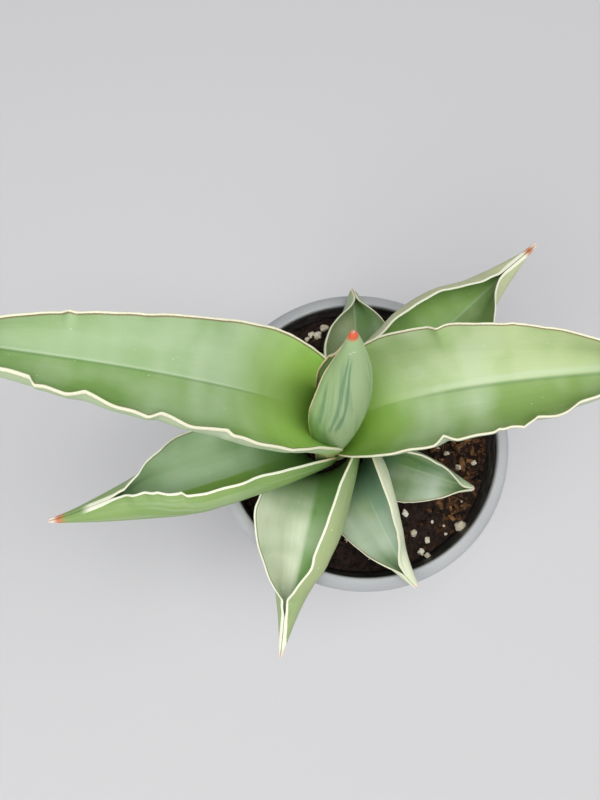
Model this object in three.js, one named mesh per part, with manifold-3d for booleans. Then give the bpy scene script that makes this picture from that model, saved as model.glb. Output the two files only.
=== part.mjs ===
// Potted samurai snake plant: a nursery pot full of soil, a short stem and nine channelled leaves.
// Millimetres, +Z up. The origin is the centre of the pot's flat base, +X points along the two big
// leaves to the right and +Y points to the back.

import * as THREE from 'three';
import { mergeVertices } from 'three/addons/utils/BufferGeometryUtils.js';
import Module from 'manifold-3d';

const wasm = await Module();
wasm.setup();

// Gap between a piece and its neighbour
const CLEAR = 0.3;

// Pot: a 120 mm nursery pot with a rolled rim
const POT_HEIGHT = 90;
const RIM_RADIUS = 60;
const MOUTH_RADIUS = 54.8;
const BASE_RADIUS = 42;
const WALL = 1.2;
const FLOOR_THICK = 1.5;
const BASE_ROUNDING = 1.5;
const SKIRT_DEPTH = 11;
const LIP_DROP = 3.2;
const LIP_FLAT = 0.8;
const LIP_BEVEL = 0.4;
const POT_SIDES = 56;
const DRAIN_HOLES = 8;
const DRAIN_RADIUS = 3.5;
const DRAIN_CIRCLE = 33;
const DRAIN_SIDES = 12;

// Soil, with perlite grains and bark chips half sunk in its surface
const SOIL_LEVEL = 82;
const SOIL_RINGS = 8;
const SOIL_SIDES = 44;
const SOIL_SLACK = 0.15;
const MOUND_HEIGHT = 1.5;
const MOUND_RADIUS = 16;
const PERLITE_GRAINS = 44;
const PERLITE_SMALLEST = 1;
const PERLITE_LARGEST = 2.1;
const BARK_CHIPS = 16;
const BARK_LENGTH = 8;

// Stem: it stands off the pot's centre, in a plain hole in the soil, and leans back above it
const STEM_X = -12;
const STEM_Y = 0;
const STEM_LEAN = 0.15;
const STEM_BOTTOM = 50;
const STEM_RADIUS = 9;
const STEM_SIDES = 24;

// Colours
const PLASTIC = { color: 0xa3abb6, roughness: 0.45, metalness: 0 };
const PEAT = { color: 0x2c211b, roughness: 0.95, metalness: 0 };
const STEM_GREEN = { color: 0xa9bd72, roughness: 0.5, metalness: 0 };
const FRESH_GREEN = { color: 0x8cb06c, roughness: 0.42, metalness: 0 };
const LEAF_GREEN = { color: 0x78a05f, roughness: 0.42, metalness: 0 };
const OLD_GREEN = { color: 0x5f8458, roughness: 0.45, metalness: 0 };

// What a leaf has unless its own entry says otherwise. Angles are in degrees. A share is a part of
// the leaf's length, of its width or of half its width.
const ANY_LEAF = {
  turn: 0,            // how far the leaf swings sideways on its way out
  roll: 0,            // how far it tips over its own length
  widestAt: 0.38,     // share of the length at which it is widest
  rootWidth: 0.72,    // share of the width that it has at its root
  taper: 1.7,         // a higher number keeps the blade broad for longer
  sharpness: 1.15,    // a higher number makes the end of the blade more slender
  rootFold: 80,       // how steeply its sides stand up where it wraps the stem
  tipFold: 135,       // and where the margins meet, before the tip
  closeAt: 0.93,      // share of the length at which the margins meet
  rootRound: 1,       // share of the half width that is a round trough at the root
  bladeRound: 0.45,   // further out, where the rest of each side is nearly flat
  tipRound: 0.7,      // and where the margins meet
  cupLeft: 0,         // how much more steeply the left side stands up at its margin
  cupRight: 0,        // and the right side, both as seen from the root
  thickness: 4.2,     // at the midrib, where the blade is widest
  edge: 1,            // thickness at the margin
  wave: 0.3,          // height of the margin's rolling waves
  waveLength: 17,
  kinks: [],          // its sharp waves: side, share, height, reach tipward and reach rootward
};

// The nine leaves, from the middle of the rosette outwards. A root is given by its height over the
// pot's base, its distance from the stem's axis and its bearing there, and the leaf sets out along
// heading. Bearings are counted from +X towards +Y. The leaf starts at the angle rise above the
// level and ends at tipRise, and a higher curl bends it over closer to its root. The left side is 1
// and the right side -1.
const LEAVES = [
  {
    name: 'leaf_spear', look: FRESH_GREEN, heading: -10.8, bearing: -58, out: 2, height: 98.5,
    length: 89.5, width: 36.3, rise: 85.3, tipRise: 112.7, curl: 0.7, turn: -34.4, fold: 71.6,
    roll: 14.9, bladeRound: 0.57, cupLeft: 31, cupRight: 36, rootWidth: 0.88, widestAt: 0.44,
    taper: 1.67, sharpness: 1.09, closeAt: 0.95, wave: 0.1, phase: 0.3, rows: 26,
  },
  {
    name: 'leaf_left', look: FRESH_GREEN, heading: 183.3, bearing: 176.7, out: 8, height: 96.3,
    length: 171, width: 42, rise: 87.6, tipRise: -8.3, curl: 1.6, turn: -12.9, fold: 24.3,
    roll: -0.3, bladeRound: 0.74, cupLeft: 39, cupRight: 17, rootWidth: 0.72, widestAt: 0.32,
    taper: 1.1, sharpness: 0.97, closeAt: 0.96, thickness: 6.8, wave: 0.2, phase: 0.4, rows: 50,
    kinks: [
      [1, 0.28, -1.3, 16, 12], [1, 0.402, 1.3, 10, 2.2], [1, 0.501, 1.2, 3, 8],
      [1, 0.516, -0.6, 4, 3], [1, 0.606, 1.6, 4.5, 8], [1, 0.674, -0.8, 1.3, 3],
      [1, 0.68, 1, 9, 1.4], [1, 0.76, 1.2, 5, 6], [1, 0.83, 0.8, 3, 6],
      [-1, 0.536, 0.4, 5, 4], [-1, 0.579, 0.4, 5, 5], [-1, 0.648, -1.6, 1.6, 2.5],
      [-1, 0.79, 0.8, 4, 3],
    ],
  },
  {
    name: 'leaf_right', look: FRESH_GREEN, heading: 3.9, bearing: 28.8, out: 9, height: 91.5,
    length: 131.4, width: 52, rise: 83.8, tipRise: 0.4, curl: 2.06, turn: 0.1, fold: 39.7,
    roll: 6.9, bladeRound: 0.6, cupLeft: -0.8, cupRight: 33.4, rootWidth: 0.62, widestAt: 0.26,
    taper: 1.2, sharpness: 0.81, wave: 0.2, phase: 1.9, rows: 41,
    kinks: [
      [-1, 0.369, 2.4, 3.5, 3.2], [-1, 0.479, 0.7, 1.5, 1.5], [-1, 0.53, -1.2, 2.4, 4],
      [-1, 0.56, 1, 5, 2], [-1, 0.65, 0.8, 7, 4], [-1, 0.76, 1, 5, 4],
      [1, 0.385, 2.2, 2.8, 2.8], [1, 0.54, -0.6, 2, 3], [1, 0.6, 0.4, 5, 5],
      [1, 0.729, -0.9, 5, 5], [1, 0.82, 0.8, 5, 4],
    ],
  },
  {
    name: 'leaf_front_left', look: LEAF_GREEN, heading: 205, bearing: 220, out: 14, height: 89,
    length: 105, width: 39, rise: 80, tipRise: -8, curl: 4, turn: -16, fold: 48, roll: 18,
    cupLeft: 58, rootWidth: 0.66, widestAt: 0.5, taper: 1.5, sharpness: 1.4, closeAt: 0.8,
    phase: 1.1, rows: 34,
    kinks: [
      [1, 0.521, 1.9, 9, 1.5], [1, 0.59, 0.5, 2, 3], [1, 0.63, 0.7, 3, 3], [1, 0.67, -1, 3, 4],
      [1, 0.7, 0.7, 4, 3], [-1, 0.56, 0.4, 3, 3], [-1, 0.64, 0.6, 3, 3], [-1, 0.7, 0.6, 3, 3],
    ],
  },
  {
    name: 'leaf_back_right', look: LEAF_GREEN, heading: 42, bearing: 40, out: 14.5, height: 87.6,
    length: 100, width: 49.4, rise: 74, tipRise: 4.3, curl: 4.1, turn: 1.1, fold: 45, roll: -3.7,
    cupLeft: 69, cupRight: -5, rootWidth: 0.51, widestAt: 0.35, taper: 1.78, sharpness: 1.75,
    closeAt: 0.83, phase: 2.1, rows: 30, kinks: [[1, 0.555, 0.8, 6, 7], [-1, 0.6, 0.6, 5, 5]],
  },
  {
    name: 'leaf_front', look: LEAF_GREEN, heading: 254, bearing: 251.5, out: 16, height: 84.5,
    length: 76, width: 46, rise: 73, tipRise: -14.5, curl: 3.6, turn: 6.5, fold: 44, roll: 20,
    cupLeft: 78, cupRight: 22, rootWidth: 0.98, widestAt: 0.34, taper: 1.3, sharpness: 1.5,
    closeAt: 0.84, phase: 0.7, rows: 28,
    kinks: [[1, 0.48, 0.5, 4, 3], [1, 0.7, 1.4, 4, 4], [-1, 0.7, 0.9, 3, 3]],
  },
  {
    name: 'leaf_back', look: OLD_GREEN, heading: 80, bearing: 65, out: 16, height: 83,
    length: 50.5, width: 35, rise: 61, tipRise: -7.5, curl: 2.6, turn: 15, fold: 31, roll: 5,
    cupLeft: 33, cupRight: -13, rootWidth: 0.67, widestAt: 0.36, taper: 1.71, sharpness: 1.24,
    wave: 0.16, phase: 0.1, rows: 18, kinks: [[-1, 0.45, 0.5, 4, 4], [1, 0.62, 0.6, 4, 4]],
  },
  {
    name: 'leaf_front_low', look: OLD_GREEN, heading: 282, bearing: 306, out: 16.5, height: 83.5,
    length: 53.5, width: 39, rise: 60, tipRise: -4, curl: 3.3, turn: 24, fold: 40, roll: 35.5,
    cupLeft: 41, cupRight: -25, rootWidth: 0.74, widestAt: 0.22, taper: 1.3, sharpness: 1.12,
    wave: 0.16, phase: 2.7, rows: 20,
    kinks: [[1, 0.61, 0.6, 4, 3], [1, 0.78, 0.4, 3, 3], [-1, 0.55, 0.5, 4, 4]],
  },
  {
    name: 'leaf_right_low', look: OLD_GREEN, heading: 338, bearing: 331, out: 16.5, height: 83.8,
    length: 48, width: 29, rise: 60.5, tipRise: -12.8, curl: 4.1, turn: 10, fold: 52, roll: 39.5,
    cupLeft: -8, cupRight: -20, rootWidth: 0.5, widestAt: 0.33, taper: 1.58, sharpness: 1.27,
    tipFold: 123, closeAt: 0.97, wave: 0.16, phase: 1.7, rows: 18,
    kinks: [[1, 0.5, 0.4, 4, 4], [-1, 0.4, 0.4, 4, 4]],
  },
];

// How finely a leaf is drawn, and the limits of its section
const LEAF_COLUMNS = 8;
const SPINE_STEPS = 200;
const SIDE_STEPS = 12;
const CUP_START = 0.4;
const SPINE_RADIUS = 0.35;
const THINNEST = 0.7;
const CLOSING_SHARE = 0.35;
const MARGIN_GAP = 0.15;

const { sin, cos, abs, min, max, sqrt, hypot, PI } = Math;
const radians = THREE.MathUtils.degToRad;
const mix = THREE.MathUtils.lerp;

// From 0 at x = from to 1 at x = to, smoothly
function ease(from, to, x) {
  return THREE.MathUtils.smoothstep(x, from, to);
}

// Repeatable random numbers from 0 to 1
function randomFrom(seed) {
  let state = seed;
  return () => {
    state = (state + 0x6d2b79f5) | 0;
    let t = Math.imul(state ^ (state >>> 15), 1 | state);
    t = (t + Math.imul(t ^ (t >>> 7), 61 | t)) ^ t;
    return ((t ^ (t >>> 14)) >>> 0) / 4294967296;
  };
}

// A closed geometry as a solid for cutting and joining, turned so that its faces point out
function toSolid(geometry) {
  const bare = geometry.clone();
  bare.deleteAttribute('normal');
  bare.deleteAttribute('uv');
  const merged = mergeVertices(bare, 1e-4);
  const vertProperties = Float32Array.from(merged.attributes.position.array);
  const index = merged.index.array;
  const triVerts = [];
  for (let i = 0; i < index.length; i += 3) {
    const [a, b, c] = [index[i], index[i + 1], index[i + 2]];
    if (a !== b && b !== c && c !== a) triVerts.push(a, b, c);
  }
  if (signedVolume(vertProperties, triVerts) < 0) triVerts.reverse();
  return new wasm.Manifold(new wasm.Mesh({
    numProp: 3, vertProperties, triVerts: Uint32Array.from(triVerts),
  }));
}

function signedVolume(xyz, triangles) {
  const point = (i) => new THREE.Vector3().fromArray(xyz, 3 * i);
  let volume = 0;
  for (let i = 0; i < triangles.length; i += 3) {
    const [a, b, c] = [point(triangles[i]), point(triangles[i + 1]), point(triangles[i + 2])];
    volume += a.dot(b.cross(c)) / 6;
  }
  return volume;
}

// The largest body of a solid: what a cut leaves loose is dropped
function largest(solid) {
  const bodies = solid.decompose();
  return bodies.reduce((best, body) => (body.volume() > best.volume() ? body : best));
}

function toMesh(name, solid, look) {
  const { vertProperties, triVerts } = solid.getMesh();
  const geometry = new THREE.BufferGeometry();
  geometry.setAttribute('position', new THREE.BufferAttribute(vertProperties, 3));
  geometry.setIndex(new THREE.BufferAttribute(triVerts, 1));
  geometry.computeVertexNormals();
  const mesh = new THREE.Mesh(geometry, new THREE.MeshStandardMaterial(look));
  mesh.name = name;
  return mesh;
}

// A profile of [radius, height] points turned about the Z axis
function turned(profile, sides) {
  const points = profile.map(([radius, height]) => new THREE.Vector2(radius, height));
  return new THREE.LatheGeometry(points, sides).rotateX(PI / 2);
}

// Profile points of a quarter ellipse about [radius, height], counted from the angle from
function quarter(radius, height, width, rise, from, steps) {
  const points = [];
  for (let i = 0; i <= steps; i++) {
    const angle = radians(from + (90 * i) / steps);
    points.push([radius + width * cos(angle), height + rise * sin(angle)]);
  }
  return points;
}

function verticalCylinder(radius, bottom, top, sides) {
  const cylinder = new THREE.CylinderGeometry(radius, radius, top - bottom, sides).rotateX(PI / 2);
  return cylinder.translate(0, 0, (top + bottom) / 2);
}

// Pot

// The wall's outer radius at a height: straight from the base up to the mouth
function wallRadius(height) {
  return mix(BASE_RADIUS, MOUTH_RADIUS + WALL, height / POT_HEIGHT);
}

function potSolid() {
  const skirtTop = POT_HEIGHT - LIP_DROP;
  const skirtBottom = POT_HEIGHT - SKIRT_DEPTH;
  const underLip = skirtTop - WALL / 2;
  const lipFoot = MOUTH_RADIUS + LIP_FLAT;
  const profile = [
    [0, 0],
    ...quarter(BASE_RADIUS - BASE_ROUNDING, BASE_ROUNDING, BASE_ROUNDING, BASE_ROUNDING, -90, 3),
    [wallRadius(underLip), underLip],
    [RIM_RADIUS - WALL, underLip - WALL / 2],
    [RIM_RADIUS - WALL, skirtBottom],
    [RIM_RADIUS, skirtBottom],
    ...quarter(lipFoot, skirtTop, RIM_RADIUS - lipFoot, LIP_DROP, 0, 4),
    [MOUTH_RADIUS, POT_HEIGHT - LIP_BEVEL],
    [wallRadius(FLOOR_THICK + BASE_ROUNDING) - WALL, FLOOR_THICK + BASE_ROUNDING],
    [BASE_RADIUS - 2 * BASE_ROUNDING, FLOOR_THICK],
    [0, FLOOR_THICK],
  ];
  let pot = toSolid(turned(profile, POT_SIDES));
  for (let i = 0; i < DRAIN_HOLES; i++) {
    const angle = (2 * PI * i) / DRAIN_HOLES;
    const hole = verticalCylinder(DRAIN_RADIUS, -1, FLOOR_THICK + 1, DRAIN_SIDES);
    hole.translate(DRAIN_CIRCLE * cos(angle), DRAIN_CIRCLE * sin(angle), 0);
    pot = pot.subtract(toSolid(hole));
  }
  return pot;
}

// Leaves

// The direction in which a leaf runs at a share of its length
function bearingAt(leaf, share) {
  const lift = radians(leaf.tipRise + (leaf.rise - leaf.tipRise) * max(0, 1 - share) ** leaf.curl);
  const heading = radians(leaf.heading + leaf.turn * share);
  return { lift, heading };
}

function leafRoot(leaf) {
  const bearing = radians(leaf.bearing);
  return new THREE.Vector3(
    STEM_X + leaf.out * cos(bearing),
    STEM_Y + STEM_LEAN * (leaf.height - SOIL_LEVEL) + leaf.out * sin(bearing),
    leaf.height,
  );
}

// Midrib point, sideways direction and upward direction of a leaf at a share of its length
function leafFrame(leaf, share) {
  const point = leafRoot(leaf);
  const step = (share * leaf.length) / SPINE_STEPS;
  for (let i = 0; i < SPINE_STEPS; i++) {
    const { lift, heading } = bearingAt(leaf, (share * (i + 0.5)) / SPINE_STEPS);
    point.x += step * cos(lift) * cos(heading);
    point.y += step * cos(lift) * sin(heading);
    point.z += step * sin(lift);
  }
  const { lift, heading } = bearingAt(leaf, share);
  const level = new THREE.Vector3(-sin(heading), cos(heading), 0);
  const steep = new THREE.Vector3(-sin(lift) * cos(heading), -sin(lift) * sin(heading), cos(lift));
  const roll = radians(leaf.roll);
  const side = level.clone().multiplyScalar(cos(roll)).addScaledVector(steep, sin(roll));
  const up = steep.clone().multiplyScalar(cos(roll)).addScaledVector(level, -sin(roll));
  return { point, side, up };
}

function halfWidth(leaf, share) {
  if (share < leaf.widestAt) {
    const out = sin((PI / 2) * max(0, share / leaf.widestAt));
    return (leaf.width / 2) * mix(leaf.rootWidth, 1, out);
  }
  const left = min(1, (share - leaf.widestAt) / (1 - leaf.widestAt));
  return (leaf.width / 2) * (1 - left ** leaf.taper) ** leaf.sharpness;
}

// Height of the margin's waves: a long one and one of just over half its length, both fading towards
// the midrib, the root and the tip, with the kinks on top
function marginWave(leaf, share, across) {
  const along = (2 * PI * share * leaf.length) / leaf.waveLength;
  const long = sin(along + leaf.phase + 1.3 * across);
  const short = 0.6 * sin(along / 0.56 + 2.1 * leaf.phase + 2.4 * across);
  const fade = ease(0.12, 0.35, share) * (1 - ease(leaf.closeAt - 0.15, leaf.closeAt, share));
  let height = leaf.wave * (long + short) * abs(across) ** 3 * fade;
  for (const [side, at, size, tipward, rootward] of leaf.kinks) {
    const beyond = (share - at) * leaf.length;
    const distance = beyond > 0 ? beyond / tipward : -beyond / rootward;
    height += size * max(0, 1 - distance) ** 1.4 * max(0, side * across) ** 5;
  }
  return height;
}

// How steeply a side of the blade stands up, as a function of the place across, from 0 to 1: a round
// trough along the midrib, then a nearly flat side, then a margin that stands up more
function sideSlope(leaf, share, isLeft) {
  const settled = ease(0, 0.45, share);
  const closing = ease(leaf.closeAt - CLOSING_SHARE, leaf.closeAt, share);
  const fold = radians(mix(mix(leaf.rootFold, leaf.fold, settled), leaf.tipFold, closing));
  const round = mix(mix(leaf.rootRound, leaf.bladeRound, settled), leaf.tipRound, closing);
  const cup = radians(isLeft ? leaf.cupLeft : leaf.cupRight) * settled * (1 - closing);
  return (out) => fold * min(out / round, 1) + cup * ease(CUP_START, 1, out);
}

// The leaf's upper and lower point at a share of its length and a place across, from -1 to 1. The
// blade is thickest in the middle.
function leafPoints(leaf, frame, share, across, grow) {
  const half = halfWidth(leaf, share) + SPINE_RADIUS + grow;
  const slopeAt = sideSlope(leaf, share, across > 0);
  const out = abs(across);
  const slope = slopeAt(out);
  const wave = marginWave(leaf, share, across);
  const step = (out * half) / SIDE_STEPS;
  let inward = -wave * sin(slope);
  let upward = wave * cos(slope);
  for (let i = 0; i < SIDE_STEPS; i++) {
    const steepness = slopeAt((out * (i + 0.5)) / SIDE_STEPS);
    inward += step * cos(steepness);
    upward += step * sin(steepness);
  }
  const sideways = out > 0 ? max(inward, MARGIN_GAP * out) : 0;
  const slimming = sqrt(min(1, max(0.02, half / (leaf.width / 2))));
  const belly = (leaf.thickness * slimming - leaf.edge) * (1 - across * across) ** 0.8;
  const depth = max(THINNEST, leaf.edge + belly) + grow;
  const place = (offset) => frame.point.clone()
    .addScaledVector(frame.side, Math.sign(across) * (sideways - offset * sin(slope)))
    .addScaledVector(frame.up, upward + offset * cos(slope));
  return { upper: place(grow), lower: place(-depth) };
}

// A leaf as one closed solid, grown on all sides by grow
function leafSolid(entry, grow) {
  const leaf = { ...ANY_LEAF, ...entry };
  const columns = LEAF_COLUMNS + 1;
  const upper = [];
  const lower = [];
  for (let row = 0; row <= leaf.rows; row++) {
    const share = mix(-grow, leaf.length + grow, row / leaf.rows) / leaf.length;
    const frame = leafFrame(leaf, share);
    for (let column = 0; column < columns; column++) {
      const across = sin(PI * (column / LEAF_COLUMNS - 0.5));
      const points = leafPoints(leaf, frame, share, across, grow);
      upper.push(points.upper);
      lower.push(points.lower);
    }
  }
  const geometry = new THREE.BufferGeometry().setFromPoints([...upper, ...lower]);
  geometry.setIndex(closedGridIndex(leaf.rows, columns));
  return toSolid(geometry);
}

// Triangles that close two equal grids of points, one above the other, into one body. Both grids are
// split alike, so that a waved blade's faces stay apart.
function closedGridIndex(rows, columns) {
  const under = (rows + 1) * columns;
  const index = [];
  const quad = (a, b, c, d) => index.push(a, b, c, a, c, d);
  for (let row = 0; row < rows; row++) {
    const start = row * columns;
    const next = start + columns;
    for (let column = 0; column < columns - 1; column++) {
      const [a, b, c, d] = [start + column, start + column + 1, next + column + 1, next + column];
      quad(a, b, c, d);
      index.push(a + under, c + under, b + under, a + under, d + under, c + under);
    }
    quad(start, next, next + under, start + under);
    const last = columns - 1;
    quad(start + last + under, next + last + under, next + last, start + last);
  }
  for (let column = 0; column < columns - 1; column++) {
    quad(column, column + under, column + 1 + under, column + 1);
    const end = rows * columns + column;
    quad(end + 1, end + 1 + under, end + under, end);
  }
  return index;
}

// Stem: a straight foot in the soil, and above it a cone that the leaves' roots sit on
function stemSolid(grow) {
  const profile = [
    [0, STEM_BOTTOM - grow],
    [STEM_RADIUS - 3 + grow, STEM_BOTTOM - grow],
    [STEM_RADIUS + grow, STEM_BOTTOM + 4],
    [STEM_RADIUS + grow, SOIL_LEVEL + 1.5],
    [STEM_RADIUS + 2.2 + grow, SOIL_LEVEL + 4],
    [STEM_RADIUS + 1 + grow, SOIL_LEVEL + 8],
    [STEM_RADIUS - 2 + grow, SOIL_LEVEL + 13],
    [STEM_RADIUS - 4 + grow, SOIL_LEVEL + 19],
    [STEM_RADIUS - 6.5 + grow, SOIL_LEVEL + 24],
    [0, SOIL_LEVEL + 25 + grow],
  ];
  const geometry = turned(profile, STEM_SIDES);
  const position = geometry.attributes.position;
  for (let i = 0; i < position.count; i++) {
    const above = max(0, position.getZ(i) - SOIL_LEVEL);
    position.setXYZ(i, position.getX(i) + STEM_X, position.getY(i) + STEM_Y + STEM_LEAN * above,
      position.getZ(i));
  }
  return toSolid(geometry);
}

// Soil

// Height of the soil's surface: low lumps, and a mound round the stem
function soilHeight(x, y) {
  const lumps = 0.7 * sin(x / 6.1 + 1) * cos(y / 5.3) + 0.5 * sin(x / 3.7 - y / 4.9 + 2);
  const mound = MOUND_HEIGHT * Math.exp(-((hypot(x - STEM_X, y - STEM_Y) / MOUND_RADIUS) ** 2));
  return SOIL_LEVEL - 1 + lumps + mound;
}

// The soil stands off the wall, with a slack for the wall's flat facets
function soilBody() {
  const inside = (height) => wallRadius(height) - WALL - CLEAR - SOIL_SLACK;
  const bottom = FLOOR_THICK + CLEAR;
  const shoulder = FLOOR_THICK + BASE_ROUNDING;
  const profile = [
    [0, bottom],
    [BASE_RADIUS - 2 * BASE_ROUNDING - CLEAR, bottom],
    [inside(shoulder), shoulder + CLEAR],
  ];
  for (let ring = SOIL_RINGS; ring >= 0; ring--) {
    profile.push([(inside(SOIL_LEVEL - 2) * ring) / SOIL_RINGS, SOIL_LEVEL]);
  }
  const geometry = turned(profile, SOIL_SIDES);
  const position = geometry.attributes.position;
  for (let i = 0; i < position.count; i++) {
    if (position.getZ(i) > SOIL_LEVEL - 1) {
      position.setZ(i, soilHeight(position.getX(i), position.getY(i)));
    }
  }
  return toSolid(geometry);
}

// A geometry turned at random and sunk in the soil at a place given by radius and bearing
function sunk(geometry, tilt, radius, bearing, lift, random) {
  const [x, y] = [radius * cos(bearing), radius * sin(bearing)];
  const spin = new THREE.Euler(tilt * (random() - 0.5), tilt * (random() - 0.5), 2 * PI * random());
  geometry.applyMatrix4(new THREE.Matrix4().makeRotationFromEuler(spin));
  return toSolid(geometry.translate(x, y, soilHeight(x, y) + lift));
}

function perliteGrains(random) {
  const grains = [];
  for (let i = 0; i < PERLITE_GRAINS; i++) {
    const size = mix(PERLITE_SMALLEST, PERLITE_LARGEST, random() ** 2);
    const grain = new THREE.IcosahedronGeometry(size, 0).scale(1, 0.8, 0.75);
    const radius = 49 * sqrt(random());
    grains.push(sunk(grain, 2 * PI, radius, 2 * PI * random(), 0.2 * size, random));
  }
  return grains;
}

// Bark chips, most of them on the right-hand side
function barkChips(random) {
  const chips = [];
  for (let i = 0; i < BARK_CHIPS; i++) {
    const length = BARK_LENGTH * (0.6 + 0.7 * random());
    const chip = new THREE.BoxGeometry(length, 1.6 + 1.6 * random(), 1.8);
    const bearing = i % 3 === 0 ? 2 * PI * random() : 1.6 * (random() - 0.5);
    chips.push(sunk(chip, 0.5, mix(30, 47, random()), bearing, 0.3, random));
  }
  return chips;
}

// The soil with a plain hole for the stem, clear of the leaves' roots
function soilSolid(leavesGrown) {
  const random = randomFrom(7);
  const hole = verticalCylinder(STEM_RADIUS + CLEAR, STEM_BOTTOM - 1, SOIL_LEVEL + 10, STEM_SIDES);
  hole.translate(STEM_X, STEM_Y, 0);
  let soil = wasm.Manifold.union([soilBody(), ...perliteGrains(random), ...barkChips(random)]);
  soil = soil.subtract(toSolid(hole)).subtract(stemSolid(CLEAR));
  for (const leaf of leavesGrown) soil = soil.subtract(leaf);
  return largest(soil);
}

// Assembly: each leaf gives way to the stem and to the leaves further in
const group = new THREE.Group();
group.name = 'potted_snake_plant';
group.add(toMesh('pot', potSolid(), PLASTIC));

const taken = [stemSolid(CLEAR)];
const leafMeshes = [];
for (const leaf of LEAVES) {
  let solid = leafSolid(leaf, 0);
  for (const neighbour of taken) solid = solid.subtract(neighbour);
  leafMeshes.push(toMesh(leaf.name, largest(solid), leaf.look));
  taken.push(leafSolid(leaf, CLEAR));
}

group.add(toMesh('soil', soilSolid(taken.slice(1)), PEAT));
group.add(toMesh('stem', stemSolid(0), STEM_GREEN));
group.add(...leafMeshes);

export default group;
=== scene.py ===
"""Potted samurai snake plant: the fine surfaces and finishes of its leaves, stem, soil and pot."""

import math

import bmesh
import bpy
import numpy as np
from mathutils import Euler, Matrix, Vector, noise


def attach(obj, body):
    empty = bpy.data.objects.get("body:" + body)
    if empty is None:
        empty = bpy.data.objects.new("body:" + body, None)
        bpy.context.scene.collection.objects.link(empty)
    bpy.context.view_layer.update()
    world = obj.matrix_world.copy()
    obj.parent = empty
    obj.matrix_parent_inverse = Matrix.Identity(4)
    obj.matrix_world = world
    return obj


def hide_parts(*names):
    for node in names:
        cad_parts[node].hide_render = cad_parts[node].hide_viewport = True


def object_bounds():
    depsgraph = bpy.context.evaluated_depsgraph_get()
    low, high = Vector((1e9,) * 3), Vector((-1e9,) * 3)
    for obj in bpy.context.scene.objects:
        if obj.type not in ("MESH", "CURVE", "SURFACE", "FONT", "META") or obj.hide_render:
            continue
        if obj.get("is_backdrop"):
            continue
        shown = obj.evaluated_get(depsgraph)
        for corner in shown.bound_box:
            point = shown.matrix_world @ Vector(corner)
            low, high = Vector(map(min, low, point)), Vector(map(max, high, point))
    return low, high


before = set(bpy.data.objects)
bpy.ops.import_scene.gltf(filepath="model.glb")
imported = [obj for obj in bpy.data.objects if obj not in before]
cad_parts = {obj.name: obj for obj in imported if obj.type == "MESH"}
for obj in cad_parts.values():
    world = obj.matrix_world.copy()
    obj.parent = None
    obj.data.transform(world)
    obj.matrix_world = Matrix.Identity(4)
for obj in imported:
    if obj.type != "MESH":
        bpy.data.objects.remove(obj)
cad_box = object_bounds()

# Sizes in this file are millimetres and angles are degrees, as in the part's own frame
MM = 0.001

# Camera of the photograph
EYE = (-40.73, -43.34, 322.1)
LOOK_ALONG = (0.0652, 0.2372, -0.9693)
IMAGE_UP = (-0.0159, 0.9715, 0.2367)
LENS = 27.0
SENSOR = 36.0

# Studio, in metres and watts: soft lights as name, place, power and colour
LIGHTS = [
    ("window", (-0.93, -0.93, 1.02), 13, (1.0, 0.99, 0.98)),
    ("room", (1.31, 0, 1.02), 8.5, (1.0, 0.99, 0.98)),
    ("ceiling", (0, -0.14, 1.69), 14.5, (1.0, 1.0, 1.0)),
]
LIGHT_SIZE = 1.4
LIT_POINT = (0, 0, 0.1)
SKY_COLOUR = (0.96, 0.97, 1, 1)
SKY_STRENGTH = 0.25
FLOOR_REACH = 3.0
FLOOR_GREY = (0.62, 0.62, 0.63, 1)

# Pot
POT_HEIGHT = 90.0
RIM_RADIUS = 60.0
MOUTH_RADIUS = 54.8
BASE_RADIUS = 42.0
WALL = 1.2
FLOOR_THICK = 1.5
BASE_ROUNDING = 1.5
SKIRT_DEPTH = 11.0
LIP_DROP = 3.2
POT_SIDES = 192
DRAIN_HOLES = 8
DRAIN_RADIUS = 3.5
DRAIN_CIRCLE = 33.0

# Soil
SOIL_LEVEL = 82.0
MOUND_HEIGHT = 1.5
MOUND_RADIUS = 16.0
SOIL_RINGS = 105
SOIL_SECTORS = 320
PERLITE_GRAINS = 44
PERLITE_SMALLEST = 1.0
PERLITE_LARGEST = 2.1
SMALL_GRAINS = 50
BARK_CHIPS = 16
BARK_LENGTH = 8.0
SLIVERS = 120
LARGE_CRUMBS = 500
SMALL_CRUMBS = 2300
STRANDS = 130
STRAND_STEPS = 12
LITTER_REACH = 51
CRUMB_REACH = 52.5
STRAND_REACH = 50

# Stem
STEM_X = -12.0
STEM_Y = 0.0
STEM_LEAN = 0.15
STEM_BOTTOM = 50.0
STEM_RADIUS = 9.0

# Colours of the leaves' tips
TIP_BROWN = 0xCB8355
TIP_RED = 0xDB6440

# What a leaf has unless its own entry says otherwise. Its shape is that of the part's own leaf. A
# kink is a sharp wave of the margin: its side, share of the length, height, and reach towards the tip
# and towards the root. The left side is 1 and the right side -1, as seen from the root. The rest is
# its look: the lines of painted highlight and painted shade along its crease as place, half width and
# strength, the streaks on its back, how strong the painted light on its blade is and where, how far
# its throat's colour (partly painted glow and painted shade) and the blend of its two sides (partly
# painted sheen and painted shade) reach, how much its margin widens where it closes, where the
# margin's cream ends, and the colours of its tip.
ANY_LEAF = dict(
    turn=0, roll=0, widest_at=0.38, root_width=0.72, taper=1.7, sharpness=1.15, root_fold=80,
    tip_fold=135, close_at=0.93, root_round=1, blade_round=0.45, tip_round=0.7, cup_left=0,
    cup_right=0, thickness=4.2, edge=0.75, wave=0.3, wave_length=17, kinks=(),
    crease=1.0, crease_pale=(0, 0.7, 0.2), crease_dark=(1, 0.8, 0), streaks=(), painted_light=0.0,
    painted_light_at=0.4, throat_glow_and_shade=0.8, throat_to=0.37, ridge=0.35, lip=0.0, seam_to=0.0, tip_from=6.0,
    tip_pale=2.6, tip_strength=0.0, tip_tint=TIP_BROWN,
)
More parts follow.
